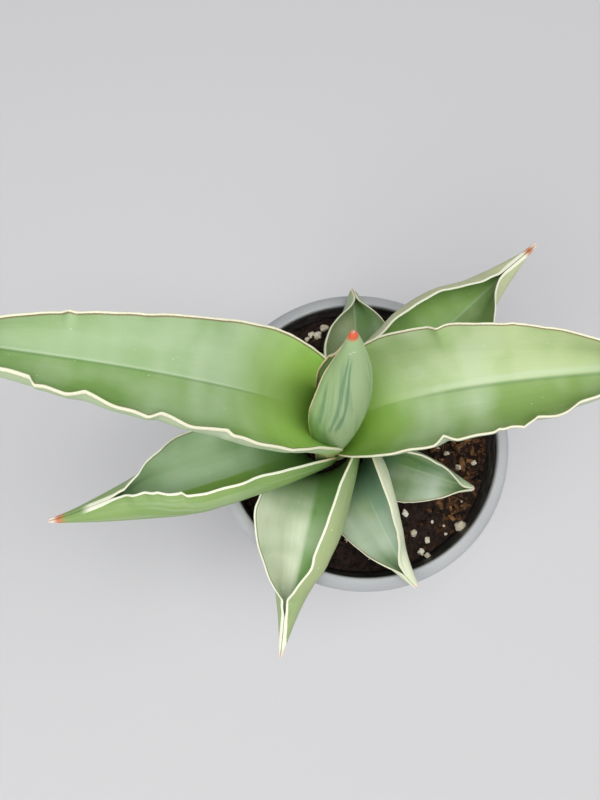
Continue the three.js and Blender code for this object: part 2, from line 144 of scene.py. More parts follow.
# Each leaf's left and right colours are those of the two sides of its upper face: partly its own colour,
# partly painted sheen on the paler side and painted shade on the darker side; leaf_front's near-white
# right side is a painted sheen
LEAVES = [
    dict(
        name="leaf_spear", look="spear", heading=-10.8, bearing=-58, out=2,
        height=98.5, length=89.5, width=36.3, rise=85.3, tip_rise=112.7, curl=0.7, turn=-34.4,
        fold=71.6, roll=14.9, blade_round=0.57, cup_left=31, cup_right=36, root_width=0.88,
        widest_at=0.44, taper=1.67, sharpness=1.09, close_at=0.95, wave=0.1, phase=0.3,
        tip_from=3.0, tip_pale=0.5, tip_strength=1.0, tip_tint=TIP_RED, left=0x8FAE76,
        right=0x8FAE76, back=0xA7C08C,
        streaks=(
            (-0.84, -0.84, 44, 67, 0.05, 0.6), (-0.69, -0.47, 40, 82, 0.04, 0.7),
            (-0.6, -0.4, 42, 80, 0.035, 0.8), (-0.09, 0, 58, 77, 0.04, 0.6),
            (-0.74, -0.66, 46, 70, 0.04, 0.25),
        ),
    ),
    dict(
        name="leaf_left", look="fresh", heading=183.3, bearing=176.7, out=8,
        height=96.3, length=171, width=42, rise=87.6, tip_rise=-8.3, curl=1.6, turn=-12.9,
        fold=24.3, roll=-0.3, blade_round=0.74, cup_left=39, cup_right=17, root_width=0.72,
        widest_at=0.32, taper=1.1, sharpness=0.97, close_at=0.96, thickness=6.8, wave=0.2,
        phase=0.4, left=0x7CA256, right=0x9FBB88, back=0xB9CAA6, painted_light=0.3, painted_light_at=0.42,
        crease_pale=(-0.3, 0.45, 0.35), crease_dark=(0.45, 0.5, 0.4), throat_glow_and_shade=0.95, throat_to=0.42,
        lip=0.3, tip_strength=0.8,
        kinks=(
            (1, 0.28, -1.3, 16, 12), (1, 0.402, 1.3, 10, 2.2), (1, 0.501, 1.2, 3, 8),
            (1, 0.516, -0.6, 4, 3), (1, 0.606, 1.6, 4.5, 8), (1, 0.674, -0.8, 1.3, 3),
            (1, 0.68, 1, 9, 1.4), (1, 0.76, 1.2, 5, 6), (1, 0.83, 0.8, 3, 6),
            (-1, 0.536, 0.4, 5, 4), (-1, 0.579, 0.4, 5, 5), (-1, 0.648, -1.6, 1.6, 2.5),
            (-1, 0.79, 0.8, 4, 3),
        ),
    ),
    dict(
        name="leaf_right", look="fresh", heading=3.9, bearing=28.8, out=9,
        height=91.5, length=131.4, width=52, rise=83.8, tip_rise=0.4, curl=2.06, turn=0.1,
        fold=39.7, roll=6.9, blade_round=0.6, cup_left=-0.8, cup_right=33.4, root_width=0.62,
        widest_at=0.26, taper=1.2, sharpness=0.81, wave=0.2, phase=1.9, left=0xBCCD97,
        right=0x89A75C, back=0xBFC9B2, painted_light=0.4, painted_light_at=0.36, crease_pale=(1.6, 1.5, 0.35),
        crease_dark=(-0.2, 1.1, 0.4), throat_glow_and_shade=0.35, throat_to=0.32, lip=0.3,
        tip_strength=0.8,
        kinks=(
            (-1, 0.369, 2.4, 3.5, 3.2), (-1, 0.479, 0.7, 1.5, 1.5), (-1, 0.53, -1.2, 2.4, 4),
            (-1, 0.56, 1, 5, 2), (-1, 0.65, 0.8, 7, 4), (-1, 0.76, 1, 5, 4),
            (1, 0.385, 2.2, 2.8, 2.8), (1, 0.54, -0.6, 2, 3), (1, 0.6, 0.4, 5, 5),
            (1, 0.729, -0.9, 5, 5), (1, 0.82, 0.8, 5, 4),
        ),
    ),
    dict(
        name="leaf_front_left", look="grown", heading=205, bearing=220, out=14,
        height=89, length=105, width=39, rise=80, tip_rise=-8, curl=4, turn=-16, fold=48,
        roll=18, cup_left=58, root_width=0.66, widest_at=0.5, taper=1.5, sharpness=1.4,
        close_at=0.8, phase=1.1, left=0x84AA4C, right=0x9DBB8D, back=0x8BA860, tip_from=8.0,
        tip_pale=4.6, tip_strength=1.0, ridge=0.8, lip=0.7, seam_to=17.0,
        kinks=(
            (1, 0.521, 1.9, 9, 1.5), (1, 0.59, 0.5, 2, 3), (1, 0.63, 0.7, 3, 3),
            (1, 0.67, -1, 3, 4), (1, 0.7, 0.7, 4, 3), (-1, 0.56, 0.4, 3, 3),
            (-1, 0.64, 0.6, 3, 3), (-1, 0.7, 0.6, 3, 3),
        ),
    ),
    dict(
        name="leaf_back_right", look="grown", heading=42, bearing=40, out=14.5,
        height=87.6, length=100, width=49.4, rise=74, tip_rise=4.3, curl=4.1, turn=1.1, fold=45,
        roll=-3.7, cup_left=69, cup_right=-5, root_width=0.51, widest_at=0.35, taper=1.78,
        sharpness=1.75, close_at=0.83, phase=2.1, left=0x8BAF5F, right=0x8DA86B,
        back=0xC9CC9E, tip_from=9.5, tip_pale=5.0, tip_strength=1.0, ridge=0.7, lip=0.6,
        kinks=((1, 0.555, 0.8, 6, 7), (-1, 0.6, 0.6, 5, 5)),
    ),
    dict(
        name="leaf_front", look="grown", heading=254, bearing=251.5, out=16,
        height=84.5, length=76, width=46, rise=73, tip_rise=-14.5, curl=3.6, turn=6.5, fold=44,
        roll=20, cup_left=78, cup_right=22, root_width=0.98, widest_at=0.34, taper=1.3,
        sharpness=1.5, close_at=0.84, phase=0.7, crease=0.4, left=0x7DA55E,
        right=0xE2E9CD, back=0xA6B580, painted_light=0.3, ridge=1.3, lip=0.6, tip_from=5.0,
        tip_pale=2.5, tip_strength=0.15,
        kinks=((1, 0.48, 0.5, 4, 3), (1, 0.7, 1.4, 4, 4), (-1, 0.7, 0.9, 3, 3)),
    ),
    dict(
        name="leaf_back", look="old", heading=80, bearing=65, out=16, height=83,
        length=50.5, width=35, rise=61, tip_rise=-7.5, curl=2.6, turn=15, fold=31, roll=5,
        cup_left=33, cup_right=-13, root_width=0.67, widest_at=0.36, taper=1.71, sharpness=1.24,
        wave=0.16, phase=0.1, left=0x919F72, right=0x6A8A50, back=0xA0B48C, ridge=1.6,
        tip_strength=0.15,
        kinks=((-1, 0.45, 0.5, 4, 4), (1, 0.62, 0.6, 4, 4)),
    ),
    dict(
        name="leaf_front_low", look="old", heading=282, bearing=306, out=16.5,
        height=83.5, length=53.5, width=39, rise=60, tip_rise=-4, curl=3.3, turn=24, fold=40,
        roll=35.5, cup_left=41, cup_right=-25, root_width=0.74, widest_at=0.22, taper=1.3,
        sharpness=1.12, wave=0.16, phase=2.7, left=0x99B699, right=0x97AC85, back=0xDDE3C4, ridge=1.8,
        painted_light=0.35, painted_light_at=0.55,
        kinks=((1, 0.61, 0.6, 4, 3), (1, 0.78, 0.4, 3, 3), (-1, 0.55, 0.5, 4, 4)),
    ),
    dict(
        name="leaf_right_low", look="old", heading=338, bearing=331, out=16.5,
        height=83.8, length=48, width=29, rise=60.5, tip_rise=-12.8, curl=4.1, turn=10, fold=52,
        roll=39.5, cup_left=-8, cup_right=-20, root_width=0.5, widest_at=0.33, taper=1.58,
        sharpness=1.27, tip_fold=123, close_at=0.97, wave=0.16, phase=1.7, left=0x709558,
        right=0x7A9264, back=0xA9BD94, ridge=1.6, painted_light=0.4, painted_light_at=0.6,
        kinks=((1, 0.5, 0.4, 4, 4), (-1, 0.4, 0.4, 4, 4)),
    ),
]

# The material slot of each kind of leaf
SLOTS = {"fresh": "young_leaf", "spear": "young_leaf", "grown": "grown_leaf", "old": "old_leaf"}

# How finely a leaf is modelled, and the forms that only the fine leaf has
SPINE_STEPS = 200
SIDE_STEPS = 12
CUP_START = 0.4
SPINE_RADIUS = 0.35
THINNEST = 0.7
CLOSING_SHARE = 0.35
MARGIN_GAP = 0.12
LEAF_ROW = 0.65
LEAF_COLUMNS = 56
BEAD_STEPS = 5
BEAD_RADIUS = 0.42
TIP_ROUNDING = 1.4


# Small helpers for numbers

def ease(low, high, x):
    """From 0 at x = low to 1 at x = high, smoothly."""
    t = np.clip((np.asarray(x, float) - low) / (high - low), 0, 1)
    return t * t * (3 - 2 * t)


def mix(a, b, t):
    return a + (b - a) * t


def random_from(seed):
    """The same repeatable random numbers as the part's own source draws."""
    state = seed

    def multiply(a, b):
        return (a * b) & 0xFFFFFFFF

    def draw():
        nonlocal state
        state = (state + 0x6D2B79F5) & 0xFFFFFFFF
        t = multiply(state ^ (state >> 15), 1 | state)
        t = ((t + multiply(t ^ (t >> 7), 61 | t)) & 0xFFFFFFFF) ^ t
        return (t ^ (t >> 14)) / 4294967296

    return draw


def value_noise(x, y, cell, seed):
    """Smooth random heights from -1 to 1 over a plane, with lumps of about the cell's size."""
    size = 128
    lattice = np.random.default_rng(seed).uniform(-1, 1, (size, size))
    gx = np.asarray(x, float) / cell
    gy = np.asarray(y, float) / cell
    ix = np.floor(gx).astype(int)
    iy = np.floor(gy).astype(int)
    tx = ease(0, 1, gx - ix)
    ty = ease(0, 1, gy - iy)
    corner = lambda dx, dy: lattice[(ix + dx) % size, (iy + dy) % size]
    low = mix(corner(0, 0), corner(1, 0), tx)
    high = mix(corner(0, 1), corner(1, 1), tx)
    return mix(low, high, ty)


# Meshes

def make_piece(name, points, faces, uvs, attributes, material, slot, replaced=()):
    """A mesh piece from millimetre points, with one UV pair for each corner of each face."""
    mesh = bpy.data.meshes.new(name)
    mesh.from_pydata((np.asarray(points, float) * MM).tolist(), [], faces)
    layer = mesh.uv_layers.new(name="OFBake")
    layer.data.foreach_set("uv", np.asarray(uvs, np.float32).ravel())
    for label, values in attributes.items():
        values = np.asarray(values, np.float32)
        if values.ndim == 2:
            mesh.attributes.new(label, "FLOAT_VECTOR", "POINT").data.foreach_set(
                "vector", values.ravel()
            )
        else:
            mesh.attributes.new(label, "FLOAT", "POINT").data.foreach_set("value", values)
    mesh.polygons.foreach_set("use_smooth", [True] * len(mesh.polygons))
    mesh.materials.append(material)
    mesh.validate()
    piece = bpy.data.objects.new(name, mesh)
    bpy.context.scene.collection.objects.link(piece)
    face_outwards(mesh)
    finish_piece(piece, slot, replaced)
    return piece


def face_outwards(mesh):
    shape = bmesh.new()
    shape.from_mesh(mesh)
    if shape.calc_volume(signed=True) < 0:
        bmesh.ops.reverse_faces(shape, faces=shape.faces)
        shape.to_mesh(mesh)
    shape.free()


def finish_piece(piece, slot, replaced=()):
    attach(piece, "root")
    if replaced:
        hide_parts(*replaced)


def lathe(profile, sectors):
    """A closed body turned about Z: profile points (radius, height) from axis to axis. Returns its
    points, faces and UVs, which run round the axis and along the profile."""
    profile = np.asarray(profile, float)
    inner = profile[1:-1]
    angle = 2 * np.pi * np.arange(sectors) / sectors
    ring = np.stack([np.cos(angle), np.sin(angle)], -1)
    body = np.zeros((len(inner), sectors, 3))
    body[..., :2] = inner[:, 0, None, None] * ring[None]
    body[..., 2] = inner[:, 1, None]
    points = np.concatenate([body.reshape(-1, 3), [[0, 0, profile[0, 1]], [0, 0, profile[-1, 1]]]])
    steps = np.hypot(*np.diff(profile, axis=0).T)
    along = np.concatenate([[0], np.cumsum(steps)]) / steps.sum()
    first = len(points) - 2
    faces, uvs = [], []
    for s in range(sectors):
        n = (s + 1) % sectors
        u0, u1 = s / sectors, (s + 1) / sectors
        faces.append((first, n, s))
        uvs += [(u0, along[0]), (u1, along[1]), (u0, along[1])]
        for row in range(len(inner) - 1):
            a, b = row * sectors, (row + 1) * sectors
            faces.append((a + s, a + n, b + n, b + s))
            v0, v1 = along[row + 1], along[row + 2]
            uvs += [(u0, v0), (u1, v0), (u1, v1), (u0, v1)]
        last = (len(inner) - 1) * sectors
        faces.append((first + 1, last + s, last + n))
        uvs += [(u0, along[-1]), (u0, along[-2]), (u1, along[-2])]
    return points, faces, uvs


def arc(radius, height, across, up, start, end, steps):
    """Profile points on a stretch of an ellipse round (radius, height)."""
    angle = np.radians(np.linspace(start, end, steps + 1))
    return list(zip(radius + across * np.cos(angle), height + up * np.sin(angle)))


def stretch(start, end, steps):
    """Profile points along a straight line, without its first point."""
    share = np.arange(1, steps + 1)[:, None] / steps
    return [tuple(p) for p in mix(np.array(start), np.array(end), share)]


class Heap:
    """Many small lumps gathered into one mesh. Each has a cell of its own in the UV square."""

    def __init__(self, count):
        self.cells = math.ceil(math.sqrt(count))
        self.points, self.faces, self.uvs, self.shade = [], [], [], []
        self.total = 0
        self.number = 0

    def add(self, points, faces, turn, place, shade):
        """One lump: its own points and faces, a turn (3 by 3) and a place, and its shade, 0 to 1."""
        centre = points.mean(0)
        reach = np.abs(points - centre).max() or 1
        flat = 0.5 + 0.46 * (points[:, :2] - centre[:2]) / reach
        corner = np.array([self.number % self.cells, self.number // self.cells])
        for face in faces:
            lower = points[list(face), 2].mean() < centre[2]
            for i in face:
                local = ((flat[i, 0] + lower) / 2, flat[i, 1])
                self.uvs.append((corner + local) / self.cells)
            self.faces.append(tuple(i + self.total for i in face))
        self.points.append(points @ np.asarray(turn).T + place)
        self.shade += [shade] * len(points)
        self.total += len(points)
        self.number += 1

    def piece(self, name, material, slot, replaced=()):
        points = np.concatenate(self.points)
        return make_piece(name, points, self.faces, self.uvs, {"shade": self.shade}, material,
                          slot, replaced)


def ball(subdivisions):
    """Points and faces of a unit ball of triangles."""
    shape = bmesh.new()
    bmesh.ops.create_icosphere(shape, subdivisions=subdivisions, radius=1)
    points = np.array([v.co[:] for v in shape.verts])
    faces = [tuple(v.index for v in f.verts) for f in shape.faces]
    shape.free()
    return points, faces


def lumpy(points, amount, size, seed):
    """Points pushed in and out along their own direction by smooth noise."""
    shift = Vector((seed * 7.3, seed * 3.1, seed * 5.7))
    swell = [noise.noise(Vector(p) / size + shift) for p in points]
    return points * (1 + amount * np.array(swell))[:, None]


def block(cells, size):
    """A box's surface as a grid of quads, cells and size given for each axis."""
    index, points, faces = {}, [], []

    def corner(key):
        if key not in index:
            index[key] = len(points)
            points.append([(k / n - 0.5) * s for k, n, s in zip(key, cells, size)])
        return index[key]

    for axis in range(3):
        b, c = (axis + 1) % 3, (axis + 2) % 3
        for level in (0, cells[axis]):
            for i in range(cells[b]):
                for j in range(cells[c]):
                    ring = []
                    for di, dj in ((0, 0), (1, 0), (1, 1), (0, 1)):
                        key = [0, 0, 0]
                        key[axis], key[b], key[c] = level, i + di, j + dj
                        ring.append(corner(tuple(key)))
                    faces.append(tuple(ring if level else ring[::-1]))
    return np.array(points), faces


# Leaves

def leaf_frames(leaf, shares):
    """Midrib points, sideways and upward directions of a leaf at shares of its length."""
    middle = (np.arange(SPINE_STEPS) + 0.5) / SPINE_STEPS

    def direction(share):
        bend = np.maximum(0, 1 - share) ** leaf["curl"]
        lift = np.radians(leaf["tip_rise"] + (leaf["rise"] - leaf["tip_rise"]) * bend)
        heading = np.radians(leaf["heading"] + leaf["turn"] * share)
        return lift, heading

    lift, heading = direction(shares[:, None] * middle)
    run = np.stack([np.cos(lift) * np.cos(heading), np.cos(lift) * np.sin(heading), np.sin(lift)], -1)
    step = shares * leaf["length"] / SPINE_STEPS
    bearing = math.radians(leaf["bearing"])
    root = np.array([
        STEM_X + leaf["out"] * math.cos(bearing),
        STEM_Y + STEM_LEAN * (leaf["height"] - SOIL_LEVEL) + leaf["out"] * math.sin(bearing),
        leaf["height"],
    ])
    point = root + run.sum(1) * step[:, None]
    lift, heading = direction(shares)
    level = np.stack([-np.sin(heading), np.cos(heading), 0 * heading], -1)
    steep = np.stack([
        -np.sin(lift) * np.cos(heading), -np.sin(lift) * np.sin(heading), np.cos(lift)
    ], -1)
    roll = math.radians(leaf["roll"])
    side = level * math.cos(roll) + steep * math.sin(roll)
    up = steep * math.cos(roll) - level * math.sin(roll)
    return point, side, up


def half_width(leaf, share):
    inner = mix(leaf["root_width"], 1, np.sin(np.pi / 2 * np.clip(share / leaf["widest_at"], 0, 1)))
    left = np.clip((share - leaf["widest_at"]) / (1 - leaf["widest_at"]), 0, 1)
    outer = (1 - left ** leaf["taper"]) ** leaf["sharpness"]
    return leaf["width"] / 2 * np.where(share < leaf["widest_at"], inner, outer)


def margin_wave(leaf, share, across):
    """Height of the margin's rolling waves and of its kinks above the even blade."""
    along = 2 * np.pi * share * leaf["length"] / leaf["wave_length"]
    rolling = np.sin(along + leaf["phase"] + 1.3 * across)
    rolling = rolling + 0.6 * np.sin(along / 0.56 + 2.1 * leaf["phase"] + 2.4 * across)
    calm = 1 - ease(leaf["close_at"] - 0.15, leaf["close_at"], share)
    height = leaf["wave"] * rolling * np.abs(across) ** 3 * ease(0.12, 0.35, share) * calm
    for side, at, size, tipward, rootward in leaf["kinks"]:
        beyond = (share - at) * leaf["length"]
        distance = np.where(beyond > 0, beyond / tipward, -beyond / rootward)
        peak = np.clip(1 - distance, 0, 1) ** 1.4
        height = height + size * peak * np.clip(side * across, 0, 1) ** 5
    return height


def leaf_section(leaf, share, across):
    """Where the blade's upper face lies beside and above the midrib, its slope, its depth, the size
    of the bead along its margin, and its half width."""
    shrink = np.sqrt(np.clip((1 - share) * leaf["length"] / TIP_ROUNDING, 0.01, 1))
    half = half_width(leaf, share) + SPINE_RADIUS * shrink
    bead = BEAD_RADIUS * np.clip(half / 2.5, 0.25, 1)
    reach = half - 0.8 * bead
    settled = ease(0, 0.45, share)
    closing = ease(leaf["close_at"] - CLOSING_SHARE, leaf["close_at"], share)
    fold = np.radians(mix(mix(leaf["root_fold"], leaf["fold"], settled), leaf["tip_fold"], closing))
    rounded = mix(mix(leaf["root_round"], leaf["blade_round"], settled), leaf["tip_round"], closing)
    cup = np.radians(np.where(across > 0, leaf["cup_left"], leaf["cup_right"]))
    cup = cup * settled * (1 - closing)

    def slope_at(out):
        return fold * np.minimum(out / rounded, 1) + cup * ease(CUP_START, 1, out)

    out = np.abs(across)
    slope = slope_at(out)
    step = out * reach / SIDE_STEPS
    wave = margin_wave(leaf, share, across)
    inward = -wave * np.sin(slope)
    upward = wave * np.cos(slope)
    for i in range(SIDE_STEPS):
        steepness = slope_at(out * (i + 0.5) / SIDE_STEPS)
        inward = inward + step * np.cos(steepness)
        upward = upward + step * np.sin(steepness)
    slimming = np.sqrt(np.clip(half / (leaf["width"] / 2), 0.02, 1))
    belly = (leaf["thickness"] * slimming - leaf["edge"]) * np.clip(1 - across**2, 0, 1) ** 0.8
    depth = np.maximum(THINNEST, leaf["edge"] + belly) * shrink
    return inward, upward, slope, depth, bead, reach


def relief(leaf, number, share, across, reach):
    """Low forms of the upper face: the midrib's crease, soft swells and fine ribs along the blade."""
    beside = across * reach
    along = share * leaf["length"]
    groove = -0.3 * np.exp(-np.abs(beside) / 1.1) * ease(0.2, 0.4, share) * leaf["crease"]
    swell = 0.16 * value_noise(along + 90 * number, beside, 15, 3)
    cockle = 0.14 * value_noise(along + 50 * number, beside / 3, 6.5, 6) * np.abs(across) ** 2
    ribs = 0.03 * value_noise(beside, along / 30 + 9 * number, 0.9, 5)
    inside = (1 - np.abs(across) ** 6) * ease(0, 0.12, 1 - share)
    return (groove + swell + cockle + ribs) * inside


def leaf_shares(leaf):
    """Rows along the leaf: even ones, then closer ones over the rounded tip."""
    length = leaf["length"] - 0.35
    body = np.linspace(0, length - TIP_ROUNDING, round(length / LEAF_ROW))
    tip = length - TIP_ROUNDING + TIP_ROUNDING * np.sin(np.radians((18, 36, 54, 72, 84)))
    return np.concatenate([body, tip]) / leaf["length"]


def leaf_piece(entry, number):
    leaf = {**ANY_LEAF, **entry}
    shares = leaf_shares(leaf)
    point, side, up = (a[:, None, :] for a in leaf_frames(leaf, shares))
    across = np.sin(np.pi * (np.arange(LEAF_COLUMNS + 1) / LEAF_COLUMNS - 0.5))[None, :]
    share = shares[:, None]
    inward, upward, slope, depth, bead, reach = leaf_section(leaf, share, across)
    sign = np.sign(across)

    def place(offset, push=0.0):
        """Points at an offset from the upper face, and pushed outwards past the margin."""
        beside = inward - offset * np.sin(slope) + push * np.cos(slope)
        nearest = MARGIN_GAP * np.abs(across)
        beside = np.where(nearest > 1e-6, np.maximum(beside, nearest), 0)
        above = upward + offset * np.cos(slope) + push * np.sin(slope)
        return point + side * (sign * beside)[..., None] + up * above[..., None]

    low_relief = relief(leaf, number, share, across, reach)
    upper = place(low_relief)
    swell = 0.2 * value_noise(share * leaf["length"], across * reach + 40, 16, 4 + number)
    lower = place(-depth + swell * (1 - across**6) * ease(0, 0.12, 1 - share))

    ragged = 1 + 0.2 * value_noise(share * leaf["length"], 20 * number + 3 * sign, 1.3, 8)
    beads = []
    for angle in np.pi * np.arange(1, BEAD_STEPS + 1) / (BEAD_STEPS + 1):
        centre = -depth / 2 + depth / 2 * math.cos(angle)
        beads.append(place(centre, bead * ragged * math.sin(angle))[:, [0, -1]])
    left_bead = np.stack([b[:, 0] for b in beads[::-1]], 1)
    right_bead = np.stack([b[:, 1] for b in beads], 1)
    ring = np.concatenate([upper, right_bead, lower[:, ::-1], left_bead], 1)

    count = ring.shape[1]
    beside = across * reach
    to_edge = (1 - np.abs(across)) * reach + 0.8
    bead_edge = np.abs(np.linspace(-0.6, 0.6, BEAD_STEPS)) * np.ones_like(share)
    bead_under = np.linspace(0, 1, BEAD_STEPS) * np.ones_like(share)
    bead_beside = np.ones((1, BEAD_STEPS)) * reach
    edge = np.concatenate([to_edge, bead_edge, to_edge[:, ::-1], bead_edge], 1)
    zero = np.zeros_like(to_edge)
    under = np.concatenate([zero, bead_under, zero + 1, bead_under[:, ::-1]], 1)
    width_at = np.concatenate([beside, bead_beside, beside[:, ::-1], -bead_beside], 1)
    along = share * leaf["length"] * np.ones_like(edge)
    blade = np.stack([width_at + 60 * under + 200 * number, along, 0 * along], -1)

    widest = ring[len(shares) // 3]
    steps = np.linalg.norm(np.roll(widest, -1, 0) - widest, axis=1)
    turn_at = np.concatenate([[0], np.cumsum(steps)]) / steps.sum()
    faces, uvs = [], []
    for row in range(len(shares) - 1):
        a, b = row * count, (row + 1) * count
        u0, u1 = 0.98 * shares[row], 0.98 * shares[row + 1]
        for j in range(count):
            n = (j + 1) % count
            faces.append((a + j, a + n, b + n, b + j))
            uvs += [(u0, turn_at[j]), (u0, turn_at[j + 1]), (u1, turn_at[j + 1]), (u1, turn_at[j])]
    columns = LEAF_COLUMNS + 1
    for start, flip in ((0, False), ((len(shares) - 1) * count, True)):
        opposite = lambda j: start + 2 * columns + BEAD_STEPS - 1 - j
        caps = [(start + j, opposite(j), opposite(j + 1), start + j + 1) for j in range(columns - 1)]
        caps.append(tuple(start + columns - 1 + k for k in range(BEAD_STEPS + 2))[::-1])
        caps.append(tuple(start + (2 * columns + BEAD_STEPS - 1 + k) % count
                          for k in range(BEAD_STEPS + 2))[::-1])
        for cap in caps:
            faces.append(cap[::-1] if flip else cap)
            uvs += [(0.985 + 0.01 * (k % 2), 0.5 + 0.01 * (k // 2)) for k in range(len(cap))]

    attributes = {
        "blade": blade.reshape(-1, 3),
        "edge": edge.ravel(),
        "under": under.ravel(),
        "beside": width_at.ravel(),
        "across": (width_at / reach).ravel(),
        "along": along.ravel(),
        "to_tip": leaf["length"] - along.ravel(),
    }
    make_piece(leaf["name"] + "_blade", ring.reshape(-1, 3), faces, uvs, attributes,
               leaf_material(leaf), SLOTS[leaf["look"]], [leaf["name"]])


# Materials

def colour(code):
    """Linear colour of a hexadecimal one."""
    parts = [((code >> shift) & 255) / 255 for shift in (16, 8, 0)]
    return [c / 12.92 if c <= 0.04045 else ((c + 0.055) / 1.055) ** 2.4 for c in parts] + [1.0]


class Graph:
    """A material's node tree, built from values and sockets."""

    def __init__(self, name, **settings):
        self.material = bpy.data.materials.new(name)
        self.material.use_nodes = True
        self.tree = self.material.node_tree
        self.shader = self.tree.nodes["Principled BSDF"]
        for key, value in settings.items():
            self.shader.inputs[key.replace("_", " ")].default_value = value

    def node(self, kind, inputs=(), output=0, **settings):
        made = self.tree.nodes.new("ShaderNode" + kind)
        for key, value in settings.items():
            setattr(made, key, value)
        for key, value in dict(inputs).items():
            if isinstance(value, bpy.types.NodeSocket):
                self.tree.links.new(value, made.inputs[key])
            else:
                made.inputs[key].default_value = value
        return made.outputs[output]

    def attribute(self, name, output="Fac"):
        return self.node("Attribute", output=output, attribute_name=name, attribute_type="GEOMETRY")

    def place(self):
        return self.node("TexCoord", output="Object")

    def math(self, operation, a, b=0.0, clamp=False):
        return self.node("Math", {0: a, 1: b}, operation=operation, use_clamp=clamp)

    def between(self, value, low, high, start=0.0, end=1.0):
        """start below low, end above high, and a smooth step between."""
        inputs = {"Value": value, "From Min": low, "From Max": high, "To Min": start, "To Max": end}
        return self.node("MapRange", inputs, interpolation_type="SMOOTHSTEP")

    def hump(self, value, centre, reach, height=1.0):
        """height at the centre, falling smoothly to 0 at the reach on both sides."""
        away = self.math("ABSOLUTE", self.minus(value, centre))
        return self.between(away, 0.2 * reach, reach, height, 0.0)

    def streak(self, across, along, ragged, shape):
        """A line along the blade, given by its places across the blade at its two ends, the ends'
        distances from the root, its half width and its strength. Across, the margins are at -1 and 1."""
        start, end, root_end, tip_end, reach, strength = shape
        inputs = {"Value": along, "From Min": root_end, "From Max": tip_end, "To Min": start,
                  "To Max": end}
        centre = self.node("MapRange", inputs)
        centre = self.plus(centre, self.times(ragged, 0.06))
        line = self.hump(self.minus(across, centre), 0.03, reach, strength)
        line = self.times(line, self.between(along, root_end - 4, root_end + 4))
        return self.times(line, self.between(along, tip_end - 5, tip_end + 3, 1.0, 0.0))

    def mix(self, share, a, b):
        inputs = {0: share, 6: a, 7: b}
        return self.node("Mix", inputs, output=2, data_type="RGBA")

    def tint(self, base, value, low, high, strength, code):
        """The base, tinted with a colour where the value rises from low to high."""
        return self.mix(self.between(value, low, high, 0.0, strength), base, colour(code))

    def times(self, a, b):
        return self.math("MULTIPLY", a, b)

    def plus(self, a, b):
        return self.math("ADD", a, b)

    def minus(self, a, b):
        return self.math("SUBTRACT", a, b)

    def scaled(self, vector, factors):
        return self.node("VectorMath", {0: vector, 1: factors}, operation="MULTIPLY")

    def vector(self, x, y, z):
        return self.node("CombineXYZ", {0: x, 1: y, 2: z})

    def noise(self, vector, scale, detail=3.0, rough=0.5):
        inputs = {"Vector": vector, "Scale": scale, "Detail": detail, "Roughness": rough}
        return self.node("TexNoise", inputs)

    def bump(self, height, distance):
        return self.node("Bump", {"Height": height, "Distance": distance, "Strength": 1.0})

    def set(self, **sockets):
        for key, value in sockets.items():
            self.tree.links.new(value, self.shader.inputs[key.replace("_", " ")])


# Colours of each kind of leaf: pale bloom and deep green in clouds over its own colours, its throat and
# the depth of the throat at the crown (on fresh leaves their own yellow green brightened as painted
# glow, on grown and old leaves painted shade), the lines on its underside, its margin, and the thin
# line inside the margin
LOOKS = {
    "fresh": dict(bloom=0xC3D6B2, deep=0x86AD60, throat_glow_and_shade=0xB4E06A, crown_glow_and_shade=0x9CD048, lines=0x9FB49A,
                  margin=0xF3F1D4, rim=0x86634A),
    "spear": dict(bloom=0xB7CBB4, deep=0x93B384, throat_glow_and_shade=0xC6C67A, crown_glow_and_shade=0xC6C67A, lines=0x5F8A66,
                  margin=0xF0DAB8, rim=0x96583F),
    "grown": dict(bloom=0xC2D1B4, deep=0x6B9355, throat_glow_and_shade=0x5C8542, crown_glow_and_shade=0x47682F, lines=0xB4C7A2,
                  margin=0xF4F6DF, rim=0x7F7652),
    "old": dict(bloom=0xB9C8B4, deep=0x63896A, throat_glow_and_shade=0x587F5C, crown_glow_and_shade=0x42633F, lines=0x93AA8A,
                margin=0xE2E5C8, rim=0x8A7660),
}
TIP_PALE = 0xF1E0D2
ROOT_CREAM = 0xE3C79A
LEAF_DUST = 0xDDE5D0
# Colours of the painted highlight and painted shade lines along the crease
CREASE_HIGHLIGHT = 0xCBDDC0
CREASE_SHADE = 0x5C8350

# How far from the margin its cream and the dark line inside it reach, fading from the first distance
# to the second, and how many lines the skin has for each millimetre across
CREAM_REACH = (0.74, 0.94)
RIM_REACH = (1.05, 1.6)
FINE_LINES = 1.1
BROAD_LINES = 0.42


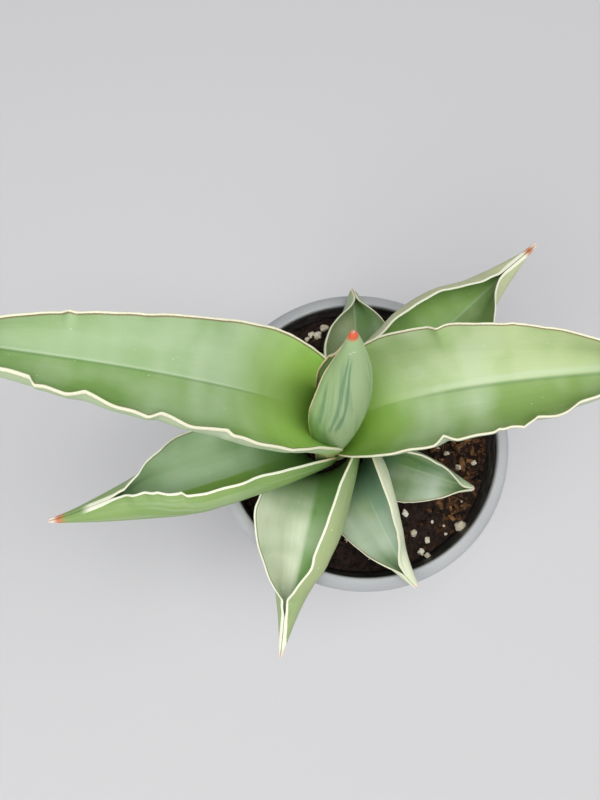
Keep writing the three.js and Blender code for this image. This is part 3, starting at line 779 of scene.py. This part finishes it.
def leaf_material(leaf):
    own = {key: leaf[key] for key in ("left", "right", "back")}
    look = {key: colour(code) for key, code in {**LOOKS[leaf["look"]], **own}.items()}
    length = leaf["length"]
    g = Graph(leaf["name"] + "_skin", Roughness=0.42, Specular_IOR_Level=0.4, Coat_Weight=0.1,
              Coat_Roughness=0.4)
    blade = g.attribute("blade", "Vector")
    edge = g.attribute("edge")
    under = g.attribute("under")
    along = g.attribute("along")
    to_tip = g.attribute("to_tip")
    signed = g.attribute("beside")
    across = g.attribute("across")

    clouds = g.noise(g.scaled(blade, (0.07, 0.04, 1)), 1.0, 3.0, 0.5)
    bands = g.noise(g.scaled(blade, (0.03, 0.11, 1)), 1.0, 1.0, 0.4)
    half = 0.5 * leaf["width"]
    lengthwise = g.times(along, 0.02)
    fine_lines = g.vector(g.times(across, FINE_LINES * half), lengthwise, 9 * leaf["phase"])
    broad_lines = g.vector(g.times(across, BROAD_LINES * half), lengthwise, 7 * leaf["phase"])
    fibres = g.noise(fine_lines, 1.0, 2.0, 0.5)
    grain = g.noise(g.scaled(blade, (2.2, 1.4, 1)), 1.0, 4.0, 0.6)

    # Upper face: its two sides in their own colours, partly painted sheen on the paler side and painted
    # shade on the darker side, with pale bloom and deep green in clouds and faint bands
    top = g.mix(g.between(signed, -leaf["ridge"], leaf["ridge"]), look["right"], look["left"])
    mottle = g.minus(g.plus(g.times(clouds, 1.1), g.times(bands, 0.9)), 1.0)
    # Painted light: a pale patch along the middle of the blade, mixed towards the bloom colour
    painted_light = g.hump(along, leaf["painted_light_at"] * length, 0.22 * length, leaf["painted_light"])
    top = g.mix(g.math("ADD", mottle, painted_light, clamp=True), top, look["bloom"])
    top = g.mix(g.math("MULTIPLY", mottle, -1.2, clamp=True), top, look["deep"])
    top = g.mix(g.between(fibres, 0.35, 0.75, 0.0, 0.07), top, look["deep"])
    # Throat and crown tints: on fresh leaves their own yellow green brightened as painted glow, on grown
    # and old leaves painted shade
    throat_glow_and_shade = g.between(along, 0.17 * length, leaf["throat_to"] * length, leaf["throat_glow_and_shade"], 0.0)
    top = g.mix(throat_glow_and_shade, top, look["throat_glow_and_shade"])
    crown_glow_and_shade = g.between(along, 0.05 * length, 0.2 * length, 0.7, 0.0)
    top = g.mix(crown_glow_and_shade, top, look["crown_glow_and_shade"])

    # The crease along its midrib: a dark line of painted shade beside a pale line of painted highlight
    open_blade = g.between(along, 0.25 * length, 0.4 * length)
    for key, tint in (("dark", CREASE_SHADE), ("pale", CREASE_HIGHLIGHT)):
        at, reach, strength = leaf["crease_" + key]
        line = g.times(g.hump(signed, at, reach, strength), open_blade)
        top = g.mix(line, top, colour(tint))

    # Underside: grey green with lines along it
    drawn = g.noise(broad_lines, 1.0, 3.0, 0.6)
    lined = g.times(g.between(drawn, 0.5, 0.6, 0.0, 0.3), g.between(to_tip, 7, 15))
    bottom = g.mix(g.between(clouds, 0.35, 0.7, 0.0, 0.3), look["back"], look["deep"])
    bottom = g.mix(lined, bottom, look["lines"])
    for streak in leaf["streaks"]:
        bottom = g.mix(g.streak(across, along, fibres, streak), bottom, look["lines"])
    # The throat's painted glow and painted shade, carried onto the underside near the root
    bottom = g.mix(g.between(along, 0.11 * length, 0.25 * length, 0.6, 0.0), bottom, look["throat_glow_and_shade"])
    skin = g.mix(under, top, bottom)

    # Dust, and the margin: a cream bead with a thin dark line inside it
    speck = g.node("TexVoronoi", {"Vector": g.scaled(blade, (0.28, 0.22, 1)), "Scale": 1.0})
    skin = g.mix(g.between(speck, 0.03, 0.07, 0.6, 0.0), skin, colour(LEAF_DUST))
    uneven = g.times(g.minus(grain, 0.5), 0.3)
    shut = g.between(along, leaf["close_at"] * length - 9, leaf["close_at"] * length)
    wider = g.plus(g.times(under, 0.1), g.times(shut, leaf["lip"]))
    border = g.minus(g.plus(edge, uneven), wider)
    seen = g.math("MAXIMUM", g.minus(1.0, under), 0.2)
    rim = g.times(g.between(border, *RIM_REACH, 0.75, 0.0), seen)
    skin = g.mix(g.times(rim, g.minus(1.0, shut)), skin, look["rim"])
    cream = g.mix(g.between(along, 7, 18, 0.7, 0.0), look["margin"], colour(ROOT_CREAM))
    open_margin = g.between(to_tip, leaf["seam_to"] - 4, leaf["seam_to"] + 1)
    bead = g.times(g.between(border, *CREAM_REACH, 1.0, 0.0), open_margin)
    skin = g.mix(bead, skin, cream)

    # Tip: orange brown, fading into the blade, then a pale point
    reach = g.plus(to_tip, g.times(g.minus(grain, 0.5), 1.2))
    brown = g.between(reach, 0.55 * leaf["tip_from"], leaf["tip_from"], leaf["tip_strength"], 0.0)
    skin = g.mix(brown, skin, colour(leaf["tip_tint"]))
    skin = g.mix(g.between(reach, 0.4 * leaf["tip_pale"], leaf["tip_pale"], 1.0, 0.0), skin,
                 colour(TIP_PALE))

    gloss = g.between(g.plus(grain, g.times(clouds, 0.5)), 0.5, 1.0, 0.38, 0.55)
    height = g.plus(g.times(fibres, 0.7), g.times(grain, 0.3))
    g.set(Base_Color=skin, Roughness=gloss, Normal=g.bump(height, 0.08 * MM))
    return g.material


def plastic_material():
    g = Graph("pot_plastic_skin", Roughness=0.45, Specular_IOR_Level=0.5)
    place = g.place()
    clouds = g.noise(place, 28.0, 3.0, 0.5)
    grain = g.noise(place, 1400.0, 2.0, 0.5)
    scuffs = g.noise(g.scaled(place, (1, 1, 6)), 160.0, 6.0, 0.7)
    base = g.mix(g.between(clouds, 0.3, 0.7), colour(0xAAACAF), colour(0xB4B6B8))
    base = g.tint(base, scuffs, 0.66, 0.76, 0.45, 0xC6C8CB)
    base = g.tint(base, grain, 0.3, 0.8, 0.1, 0x8F949B)
    # Painted shade: a near-black colour all over the inner wall, up to the rim, standing in for the
    # shadow inside the pot
    height = g.node("SeparateXYZ", {0: place}, output=2)
    low = g.between(height, 87.8 * MM, 89.4 * MM, 1.0, 0.0)
    inside = g.between(g.attribute("inside"), 0.4, 0.6)
    painted_wall_shade = g.times(g.times(low, inside), g.between(scuffs, 0.3, 0.6, 0.8, 1.0))
    base = g.mix(painted_wall_shade, base, colour(0x1E1713))
    gloss = g.between(scuffs, 0.4, 0.75, 0.4, 0.58)
    g.set(Base_Color=base, Roughness=gloss, Normal=g.bump(grain, 0.06 * MM))
    return g.material


def peat_material():
    g = Graph("peat_skin", Roughness=0.9, Specular_IOR_Level=0.3)
    place = g.place()
    lumps = g.noise(place, 420.0, 6.0, 0.65)
    fine = g.noise(place, 1700.0, 5.0, 0.7)
    strands = g.noise(g.scaled(place, (1, 2.6, 1)), 900.0, 3.0, 0.5)
    base = g.mix(g.between(lumps, 0.35, 0.7), colour(0x17100D), colour(0x34231B))
    base = g.tint(base, strands, 0.62, 0.72, 0.7, 0x5B3A26)
    base = g.tint(base, fine, 0.7, 0.78, 0.6, 0x8A6A4C)
    # Golden brown bark dust on the right
    rightward = g.between(g.node("SeparateXYZ", {0: place}), 22 * MM, 42 * MM)
    dusted = g.times(g.between(g.noise(place, 260.0, 5.0, 0.6), 0.5, 0.62, 0.0, 0.6), rightward)
    base = g.mix(dusted, base, colour(0x7D5634))
    height = g.plus(lumps, g.times(fine, 0.5))
    g.set(Base_Color=base, Normal=g.bump(height, 0.7 * MM))
    return g.material


def lump_material(name, dark, light, spot, scale, roughness, relief_depth):
    """For the lumps of a heap: a colour between dark and light for each, with spots and relief."""
    g = Graph(name, Roughness=roughness, Specular_IOR_Level=0.3)
    place = g.place()
    fine = g.noise(place, scale, 5.0, 0.65)
    base = g.mix(g.attribute("shade"), colour(dark), colour(light))
    base = g.tint(base, fine, 0.52, 0.72, 0.75, spot)
    g.set(Base_Color=base, Normal=g.bump(fine, relief_depth * MM))
    return g.material


def bark_material():
    g = Graph("bark_skin", Roughness=0.8, Specular_IOR_Level=0.3)
    place = g.place()
    layers = g.noise(g.scaled(place, (1, 1, 5)), 520.0, 4.0, 0.6)
    fine = g.noise(place, 2400.0, 4.0, 0.7)
    base = g.mix(g.attribute("shade"), colour(0x3E261A), colour(0x94693F))
    base = g.tint(base, layers, 0.42, 0.6, 0.7, 0x2C1A12)
    base = g.tint(base, fine, 0.62, 0.74, 0.6, 0xBE9A68)
    height = g.plus(layers, g.times(fine, 0.4))
    g.set(Base_Color=base, Normal=g.bump(height, 0.35 * MM))
    return g.material


def stem_material():
    g = Graph("stem_skin", Roughness=0.5, Specular_IOR_Level=0.4)
    place = g.place()
    streaks = g.noise(g.scaled(place, (1, 1, 0.2)), 700.0, 4.0, 0.6)
    rings = g.noise(g.scaled(place, (0.2, 0.2, 1)), 500.0, 3.0, 0.6)
    base = g.mix(g.between(streaks, 0.3, 0.7), colour(0x8FA65C), colour(0xC2CB8E))
    base = g.tint(base, rings, 0.58, 0.66, 0.6, 0x7A6A40)
    g.set(Base_Color=base, Normal=g.bump(rings, 0.3 * MM))
    return g.material


def floor_material():
    g = Graph("floor_skin", Roughness=0.75, Specular_IOR_Level=0.2)
    g.shader.inputs["Base Color"].default_value = FLOOR_GREY
    return g.material


# Pot

def wall_radius(height):
    return mix(BASE_RADIUS, MOUTH_RADIUS + WALL, height / POT_HEIGHT)


def pot_profile():
    skirt_top = POT_HEIGHT - LIP_DROP
    skirt_bottom = POT_HEIGHT - SKIRT_DEPTH
    under_lip = skirt_top - WALL / 2
    skirt_inner = RIM_RADIUS - WALL
    lip_centre = MOUTH_RADIUS + 0.8
    inner_foot = FLOOR_THICK + BASE_ROUNDING
    return [
        (0, 0),
        *stretch((0, 0), (BASE_RADIUS - BASE_ROUNDING, 0), 12)[:-1],
        *arc(BASE_RADIUS - BASE_ROUNDING, BASE_ROUNDING, BASE_ROUNDING, BASE_ROUNDING, -90, 0, 6),
        *stretch((BASE_RADIUS, BASE_ROUNDING), (wall_radius(under_lip), under_lip), 24),
        (wall_radius(under_lip) + 0.5, under_lip),
        (skirt_inner, under_lip - 0.6),
        *stretch((skirt_inner, under_lip - 0.6), (skirt_inner, skirt_bottom + 0.4), 4),
        *arc(skirt_inner + WALL / 2, skirt_bottom + 0.5, WALL / 2, 0.5, 180, 360, 6),
        *stretch((RIM_RADIUS, skirt_bottom + 0.5), (RIM_RADIUS, skirt_top), 4)[:-1],
        *arc(lip_centre, skirt_top, RIM_RADIUS - lip_centre, LIP_DROP, 0, 90, 14),
        *arc(lip_centre, POT_HEIGHT - 0.8, 0.8, 0.8, 105, 180, 5),
        *stretch((MOUTH_RADIUS, POT_HEIGHT - 0.8), (wall_radius(inner_foot) - WALL, inner_foot), 24),
        *arc(BASE_RADIUS - 2 * BASE_ROUNDING, inner_foot, BASE_ROUNDING, BASE_ROUNDING, -20, -90, 4),
        *stretch((BASE_RADIUS - 2 * BASE_ROUNDING, FLOOR_THICK), (0, FLOOR_THICK), 10)[:-1],
        (0, FLOOR_THICK),
    ]


def pot_piece():
    profile = pot_profile()
    points, faces, uvs = lathe(profile, POT_SIDES)
    rim_row = max(range(len(profile)), key=lambda i: profile[i][1]) - 1
    inside = np.zeros(len(points))
    inside[rim_row * POT_SIDES:] = 1
    inside[-2] = 0
    pot = make_piece("nursery_pot", points, faces, uvs, {"inside": inside}, plastic_material(),
                     "pot_plastic", ["pot"])
    cut_drain_holes(pot)


def cut_drain_holes(pot):
    drills = bmesh.new()
    for i in range(DRAIN_HOLES):
        angle = 2 * math.pi * i / DRAIN_HOLES
        place = (DRAIN_CIRCLE * MM * math.cos(angle), DRAIN_CIRCLE * MM * math.sin(angle), 0)
        bmesh.ops.create_cone(drills, cap_ends=True, segments=32, radius1=DRAIN_RADIUS * MM,
                              radius2=DRAIN_RADIUS * MM, depth=4 * FLOOR_THICK * MM,
                              matrix=Matrix.Translation(place))
    mesh = bpy.data.meshes.new("drills")
    drills.to_mesh(mesh)
    drills.free()
    tool = bpy.data.objects.new("drills", mesh)
    bpy.context.scene.collection.objects.link(tool)
    cut = pot.modifiers.new("drain_holes", "BOOLEAN")
    cut.operation = "DIFFERENCE"
    cut.solver = "EXACT"
    cut.object = tool
    graph = bpy.context.evaluated_depsgraph_get()
    drilled = bpy.data.meshes.new_from_object(pot.evaluated_get(graph))
    pot.modifiers.clear()
    pot.data = drilled
    bpy.data.objects.remove(tool)


# Soil

def soil_height(x, y):
    """The even surface of the soil: low lumps, and a mound round the stem."""
    lumps = 0.7 * np.sin(x / 6.1 + 1) * np.cos(y / 5.3) + 0.5 * np.sin(x / 3.7 - y / 4.9 + 2)
    mound = MOUND_HEIGHT * np.exp(-((np.hypot(x - STEM_X, y - STEM_Y) / MOUND_RADIUS) ** 2))
    return SOIL_LEVEL - 1 + lumps + mound


def ground(x, y):
    """The fine surface of the soil."""
    coarse = 0.8 * value_noise(x, y, 3.4, 21) + 0.5 * value_noise(x, y, 1.7, 22)
    fine = 0.35 * value_noise(x, y, 0.85, 23)
    return soil_height(x, y) + coarse + fine


def soil_piece():
    reach = wall_radius(SOIL_LEVEL) - WALL - 0.1
    foot = wall_radius(FLOOR_THICK + BASE_ROUNDING) - WALL - 0.45
    foot_height = FLOOR_THICK + BASE_ROUNDING + 0.3
    bottom = FLOOR_THICK + 0.3
    profile = [
        (0, bottom),
        *stretch((0, bottom), (foot - BASE_ROUNDING, bottom), 4),
        *stretch((foot, foot_height), (reach - 0.5, SOIL_LEVEL - 4), 8),
        *stretch((reach, SOIL_LEVEL), (0, SOIL_LEVEL), SOIL_RINGS),
    ]
    points, faces, uvs = lathe(profile, SOIL_SECTORS)
    top = points[:, 2] > SOIL_LEVEL - 1
    points[top, 2] = ground(points[top, 0], points[top, 1])
    uvs = soil_uvs(points, faces, uvs, top, reach)
    make_piece("soil_surface", points, faces, uvs, {}, peat_material(), "potting_soil", ["soil"])


def soil_uvs(points, faces, uvs, top, reach):
    """The soil's top laid flat in most of the UV square, and its wall and base in a strip."""
    made, at = [], 0
    for face in faces:
        flat = all(top[i] for i in face)
        for i in face:
            u, v = uvs[at]
            if flat:
                made.append((0.44 + 0.43 * points[i, 0] / reach, 0.5 + 0.48 * points[i, 1] / reach))
            else:
                made.append((0.89 + 0.1 * min(v * 3, 1), u))
            at += 1
    return made


def turn_matrix(tilt, draw):
    turn = Euler((tilt * (draw() - 0.5), tilt * (draw() - 0.5), 2 * math.pi * draw()))
    return np.array(turn.to_matrix())


# Perlite grains that show in the photograph: x, y and radius
SEEN_GRAINS = [
    (39.3, -35.4, 2.3), (23.1, -45.4, 1.6), (25.8, -47.0, 1.7), (17.3, -30.4, 1.7),
    (-17.0, 43.8, 2.2), (-14.6, 46.6, 1.9), (33.5, -38.5, 0.7), (35.8, -6.1, 1.2),
    (-6.6, -41.2, 0.9), (5.2, -43.9, 0.8), (-21.5, 42.0, 1.2),
]


def perlite_piece():
    """White grains: the solid part's own, those that show in the photograph, and fine ones."""
    draw = random_from(7)
    heap = Heap(PERLITE_GRAINS + len(SEEN_GRAINS) + SMALL_GRAINS)
    points, faces = ball(3)
    squash = np.array([1, 0.8, 0.75])
    for i in range(PERLITE_GRAINS):
        size = mix(PERLITE_SMALLEST, PERLITE_LARGEST, draw() ** 2)
        radius = 49 * math.sqrt(draw())
        bearing = 2 * math.pi * draw()
        turn = turn_matrix(2 * math.pi, draw)
        x, y = round_place(radius, bearing)
        grain = lumpy(points, 0.5, 0.8, i) * squash * size
        heap.add(grain, faces, turn, (x, y, soil_height(x, y) + 0.2 * size), draw_shade(i))
    scatter = np.random.default_rng(11)
    for i, (x, y, size) in enumerate(SEEN_GRAINS):
        grain = lumpy(points, 0.5, 0.8, 60 + i) * squash * size
        turn = turn_matrix(2 * math.pi, scatter.random)
        heap.add(grain, faces, turn, (x, y, ground(x, y) + 0.6 * size), draw_shade(i))
    for i in range(SMALL_GRAINS):
        x, y = random_place(scatter, LITTER_REACH)
        size = scatter.uniform(0.25, 0.55)
        grain = lumpy(points, 0.35, 0.9, i % 9) * size
        turn = turn_matrix(2 * math.pi, scatter.random)
        heap.add(grain, faces, turn, (x, y, ground(x, y) + 0.3 * size), scatter.random())
    material = lump_material("perlite_skin", 0xCFC4AE, 0xEFE8D8, 0xA08A68, 1500.0, 0.85, 0.25)
    heap.piece("perlite_grains", material, "potting_soil")


def draw_shade(number):
    return (number * 0.618) % 1


def round_place(radius, bearing):
    return radius * math.cos(bearing), radius * math.sin(bearing)


def random_place(scatter, reach):
    """An even random place on the soil, within reach of the pot's axis."""
    radius = reach * math.sqrt(scatter.random())
    bearing = scatter.uniform(0, 2 * math.pi)
    return round_place(radius, bearing)


# Where the smooth noise is read for each direction in which a chip's surface is pushed
CHIP_NOISES = (Vector((0, 0, 0)), Vector((31.4, 0, 0)), Vector((0, 47.2, 0)))


def chip_shape(length, width, thick, seed):
    """A bark chip: a long flat block with torn ends and a split, layered surface."""
    points, faces = block((14, 5, 3), (length, width, thick))
    taper = 1 - 0.45 * np.abs(2 * points[:, 0] / length) ** 3
    points = points * np.stack([np.ones_like(taper), taper, taper], -1)
    shift = Vector((seed * 3.7, seed * 1.9, 0))
    for i, p in enumerate(points):
        at = Vector((p[0] * 0.45, p[1] * 1.1, p[2] * 1.1)) + shift
        push = [noise.noise(at + apart) for apart in CHIP_NOISES]
        points[i] = p + np.array(push) * (0.9, 0.35, 0.35)
    return points, faces


def bark_piece():
    """Golden brown chips, most of them on the right: the solid part's own, and slivers."""
    draw = random_from(7)
    for _ in range(6 * PERLITE_GRAINS):
        draw()
    heap = Heap(BARK_CHIPS + SLIVERS)
    for i in range(BARK_CHIPS):
        length = BARK_LENGTH * (0.6 + 0.7 * draw())
        width = 1.6 + 1.6 * draw()
        bearing = 2 * math.pi * draw() if i % 3 == 0 else 1.6 * (draw() - 0.5)
        radius = mix(30, 47, draw())
        turn = turn_matrix(0.5, draw)
        x, y = round_place(radius, bearing)
        points, faces = chip_shape(length, width, 1.8, i)
        heap.add(points, faces, turn, (x, y, soil_height(x, y) + 0.3), draw_shade(i + 3))
    scatter = np.random.default_rng(12)
    for i in range(SLIVERS):
        if i % 4:
            radius, bearing = scatter.uniform(30, 51), scatter.uniform(-0.75, 0.45)
            x, y = round_place(radius, bearing)
        else:
            x, y = random_place(scatter, LITTER_REACH)
        length = scatter.uniform(1.5, 4.5)
        points, faces = chip_shape(length, scatter.uniform(0.5, 1.6), 0.8, 20 + i)
        turn = turn_matrix(1.2, scatter.random)
        heap.add(points, faces, turn, (x, y, ground(x, y) + 0.5), scatter.random())
    heap.piece("bark_chips", bark_material(), "potting_soil")


def crumbs_piece():
    """Loose crumbs of peat."""
    scatter = np.random.default_rng(13)
    heap = Heap(LARGE_CRUMBS + SMALL_CRUMBS)
    shapes = [(ball(2), LARGE_CRUMBS), (ball(1), SMALL_CRUMBS)]
    for number, ((points, faces), count) in enumerate(shapes):
        kinds = [lumpy(points, 0.9, 0.7, 30 + k) * (1, 0.75, 0.6) for k in range(8)]
        for i in range(count):
            x, y = random_place(scatter, CRUMB_REACH)
            size = scatter.uniform(0.6, 1.5) if number == 0 else scatter.uniform(0.2, 0.65)
            turn = turn_matrix(2 * math.pi, scatter.random)
            height = ground(x, y) + 0.3 * size
            heap.add(kinds[i % 8] * size, faces, turn, (x, y, height), scatter.random() ** 3)
    material = lump_material("crumb_skin", 0x1A120E, 0x4E3222, 0x0F0A08, 1300.0, 0.92, 0.3)
    heap.piece("peat_crumbs", material, "potting_soil")


def tube(line, radius, sides):
    """A thin round strand along a line of points, tapered to its ends."""
    line = np.asarray(line, float)
    ahead = np.gradient(line, axis=0)
    ahead /= np.linalg.norm(ahead, axis=1)[:, None]
    across = np.cross(ahead, (0, 0, 1.0))
    across /= np.linalg.norm(across, axis=1)[:, None] + 1e-9
    above = np.cross(across, ahead)
    share = np.linspace(0, 1, len(line))
    size = radius * (0.35 + 0.65 * np.sin(np.pi * share) ** 0.5)
    angle = 2 * np.pi * np.arange(sides) / sides
    ring = across[:, None] * np.cos(angle)[None, :, None] + above[:, None] * np.sin(angle)[None, :, None]
    points = (line[:, None] + ring * size[:, None, None]).reshape(-1, 3)
    faces = []
    for row in range(len(line) - 1):
        for k in range(sides):
            n = (k + 1) % sides
            a, b = row * sides, (row + 1) * sides
            faces.append((a + k, a + n, b + n, b + k))
    faces.append(tuple(range(sides))[::-1])
    faces.append(tuple((len(line) - 1) * sides + k for k in range(sides)))
    return points, faces


def fibres_piece():
    """Reddish and golden strands lying over the soil, most of them on the right."""
    scatter = np.random.default_rng(14)
    heap = Heap(STRANDS)
    for i in range(STRANDS):
        if i % 3:
            radius, bearing = scatter.uniform(26, 51), scatter.uniform(-0.85, 0.5)
            x, y = round_place(radius, bearing)
        else:
            x, y = random_place(scatter, STRAND_REACH)
        heading = scatter.uniform(0, 2 * math.pi)
        bend = scatter.uniform(-0.16, 0.16)
        step = scatter.uniform(0.35, 0.85)
        line = []
        for k in range(STRAND_STEPS):
            if math.hypot(x, y) > 52:
                break
            line.append((x, y, ground(x, y) + 0.25 + 0.5 * math.sin(math.pi * k / (STRAND_STEPS - 1))))
            x += step * math.cos(heading + bend * k)
            y += step * math.sin(heading + bend * k)
        if len(line) < 4:
            continue
        points, faces = tube(line, scatter.uniform(0.08, 0.16), 5)
        heap.add(points, faces, np.eye(3), (0, 0, 0), scatter.random())
    material = lump_material("fibre_skin", 0x3E2416, 0x8A6038, 0x24140D, 900.0, 0.8, 0.1)
    heap.piece("soil_fibres", material, "potting_soil")


# Stem

def stem_piece():
    heights = np.linspace(STEM_BOTTOM, SOIL_LEVEL + 24.9, 90)
    knots = [STEM_BOTTOM, STEM_BOTTOM + 4, SOIL_LEVEL + 1.5, SOIL_LEVEL + 4, SOIL_LEVEL + 8,
             SOIL_LEVEL + 13, SOIL_LEVEL + 19, SOIL_LEVEL + 24, SOIL_LEVEL + 25]
    radii = np.array([-3, 0, 0, 2.2, 1, -2, -4, -6.5, -8.8]) + STEM_RADIUS
    radius = np.interp(heights, knots, radii) - 0.12 * (1 + np.sin(heights * 2.2))
    profile = [(0, STEM_BOTTOM), *zip(radius, heights), (0, SOIL_LEVEL + 25)]
    points, faces, uvs = lathe(profile, 72)
    above = np.maximum(0, points[:, 2] - SOIL_LEVEL)
    points = points + np.stack([STEM_X + 0 * above, STEM_Y + STEM_LEAN * above, 0 * above], -1)
    make_piece("leaf_stem", points, faces, uvs, {}, stem_material(), "stem_tissue", ["stem"])


# Studio

def make_camera():
    ahead = Vector(LOOK_ALONG).normalized()
    right = ahead.cross(Vector(IMAGE_UP)).normalized()
    up = right.cross(ahead)
    camera = bpy.data.objects.new("camera", bpy.data.cameras.new("camera"))
    axes = Matrix((right, up, -ahead)).transposed()
    camera.matrix_world = Matrix.Translation(Vector(EYE) * MM) @ axes.to_4x4()
    camera.data.lens = LENS
    camera.data.sensor_width = SENSOR
    camera.data.clip_start = 0.01
    bpy.context.scene.collection.objects.link(camera)
    bpy.context.scene.camera = camera


def area_light(name, place, target, size, power, tint):
    lamp = bpy.data.lights.new(name, "AREA")
    lamp.shape = "DISK"
    lamp.size = size
    lamp.energy = power
    lamp.color = tint
    holder = bpy.data.objects.new(name, lamp)
    holder.location = place
    holder.rotation_mode = "QUATERNION"
    holder.rotation_quaternion = (Vector(target) - Vector(place)).to_track_quat("-Z", "Y")
    bpy.context.scene.collection.objects.link(holder)


def studio():
    for name, place, power, tint in LIGHTS:
        area_light(name, place, LIT_POINT, LIGHT_SIZE, power, tint)
    world = bpy.data.worlds.new("studio")
    world.use_nodes = True
    sky = world.node_tree.nodes["Background"]
    sky.inputs["Color"].default_value = SKY_COLOUR
    sky.inputs["Strength"].default_value = SKY_STRENGTH
    bpy.context.scene.world = world
    mesh = bpy.data.meshes.new("floor")
    corners = [(x * FLOOR_REACH, y * FLOOR_REACH, 0) for x, y in ((-1, -1), (1, -1), (1, 1), (-1, 1))]
    mesh.from_pydata(corners, [], [(0, 1, 2, 3)])
    mesh.materials.append(floor_material())
    floor = bpy.data.objects.new("floor", mesh)
    bpy.context.scene.collection.objects.link(floor)
    floor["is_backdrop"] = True
    bpy.context.scene.view_settings.view_transform = "Standard"


make_camera()
studio()
pot_piece()
soil_piece()
perlite_piece()
bark_piece()
crumbs_piece()
fibres_piece()
stem_piece()
for number, entry in enumerate(LEAVES):
    leaf_piece(entry, number)

looks_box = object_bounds()
({
    "cad": [list(corner) for corner in cad_box],
    "looks": [list(corner) for corner in looks_box],
})
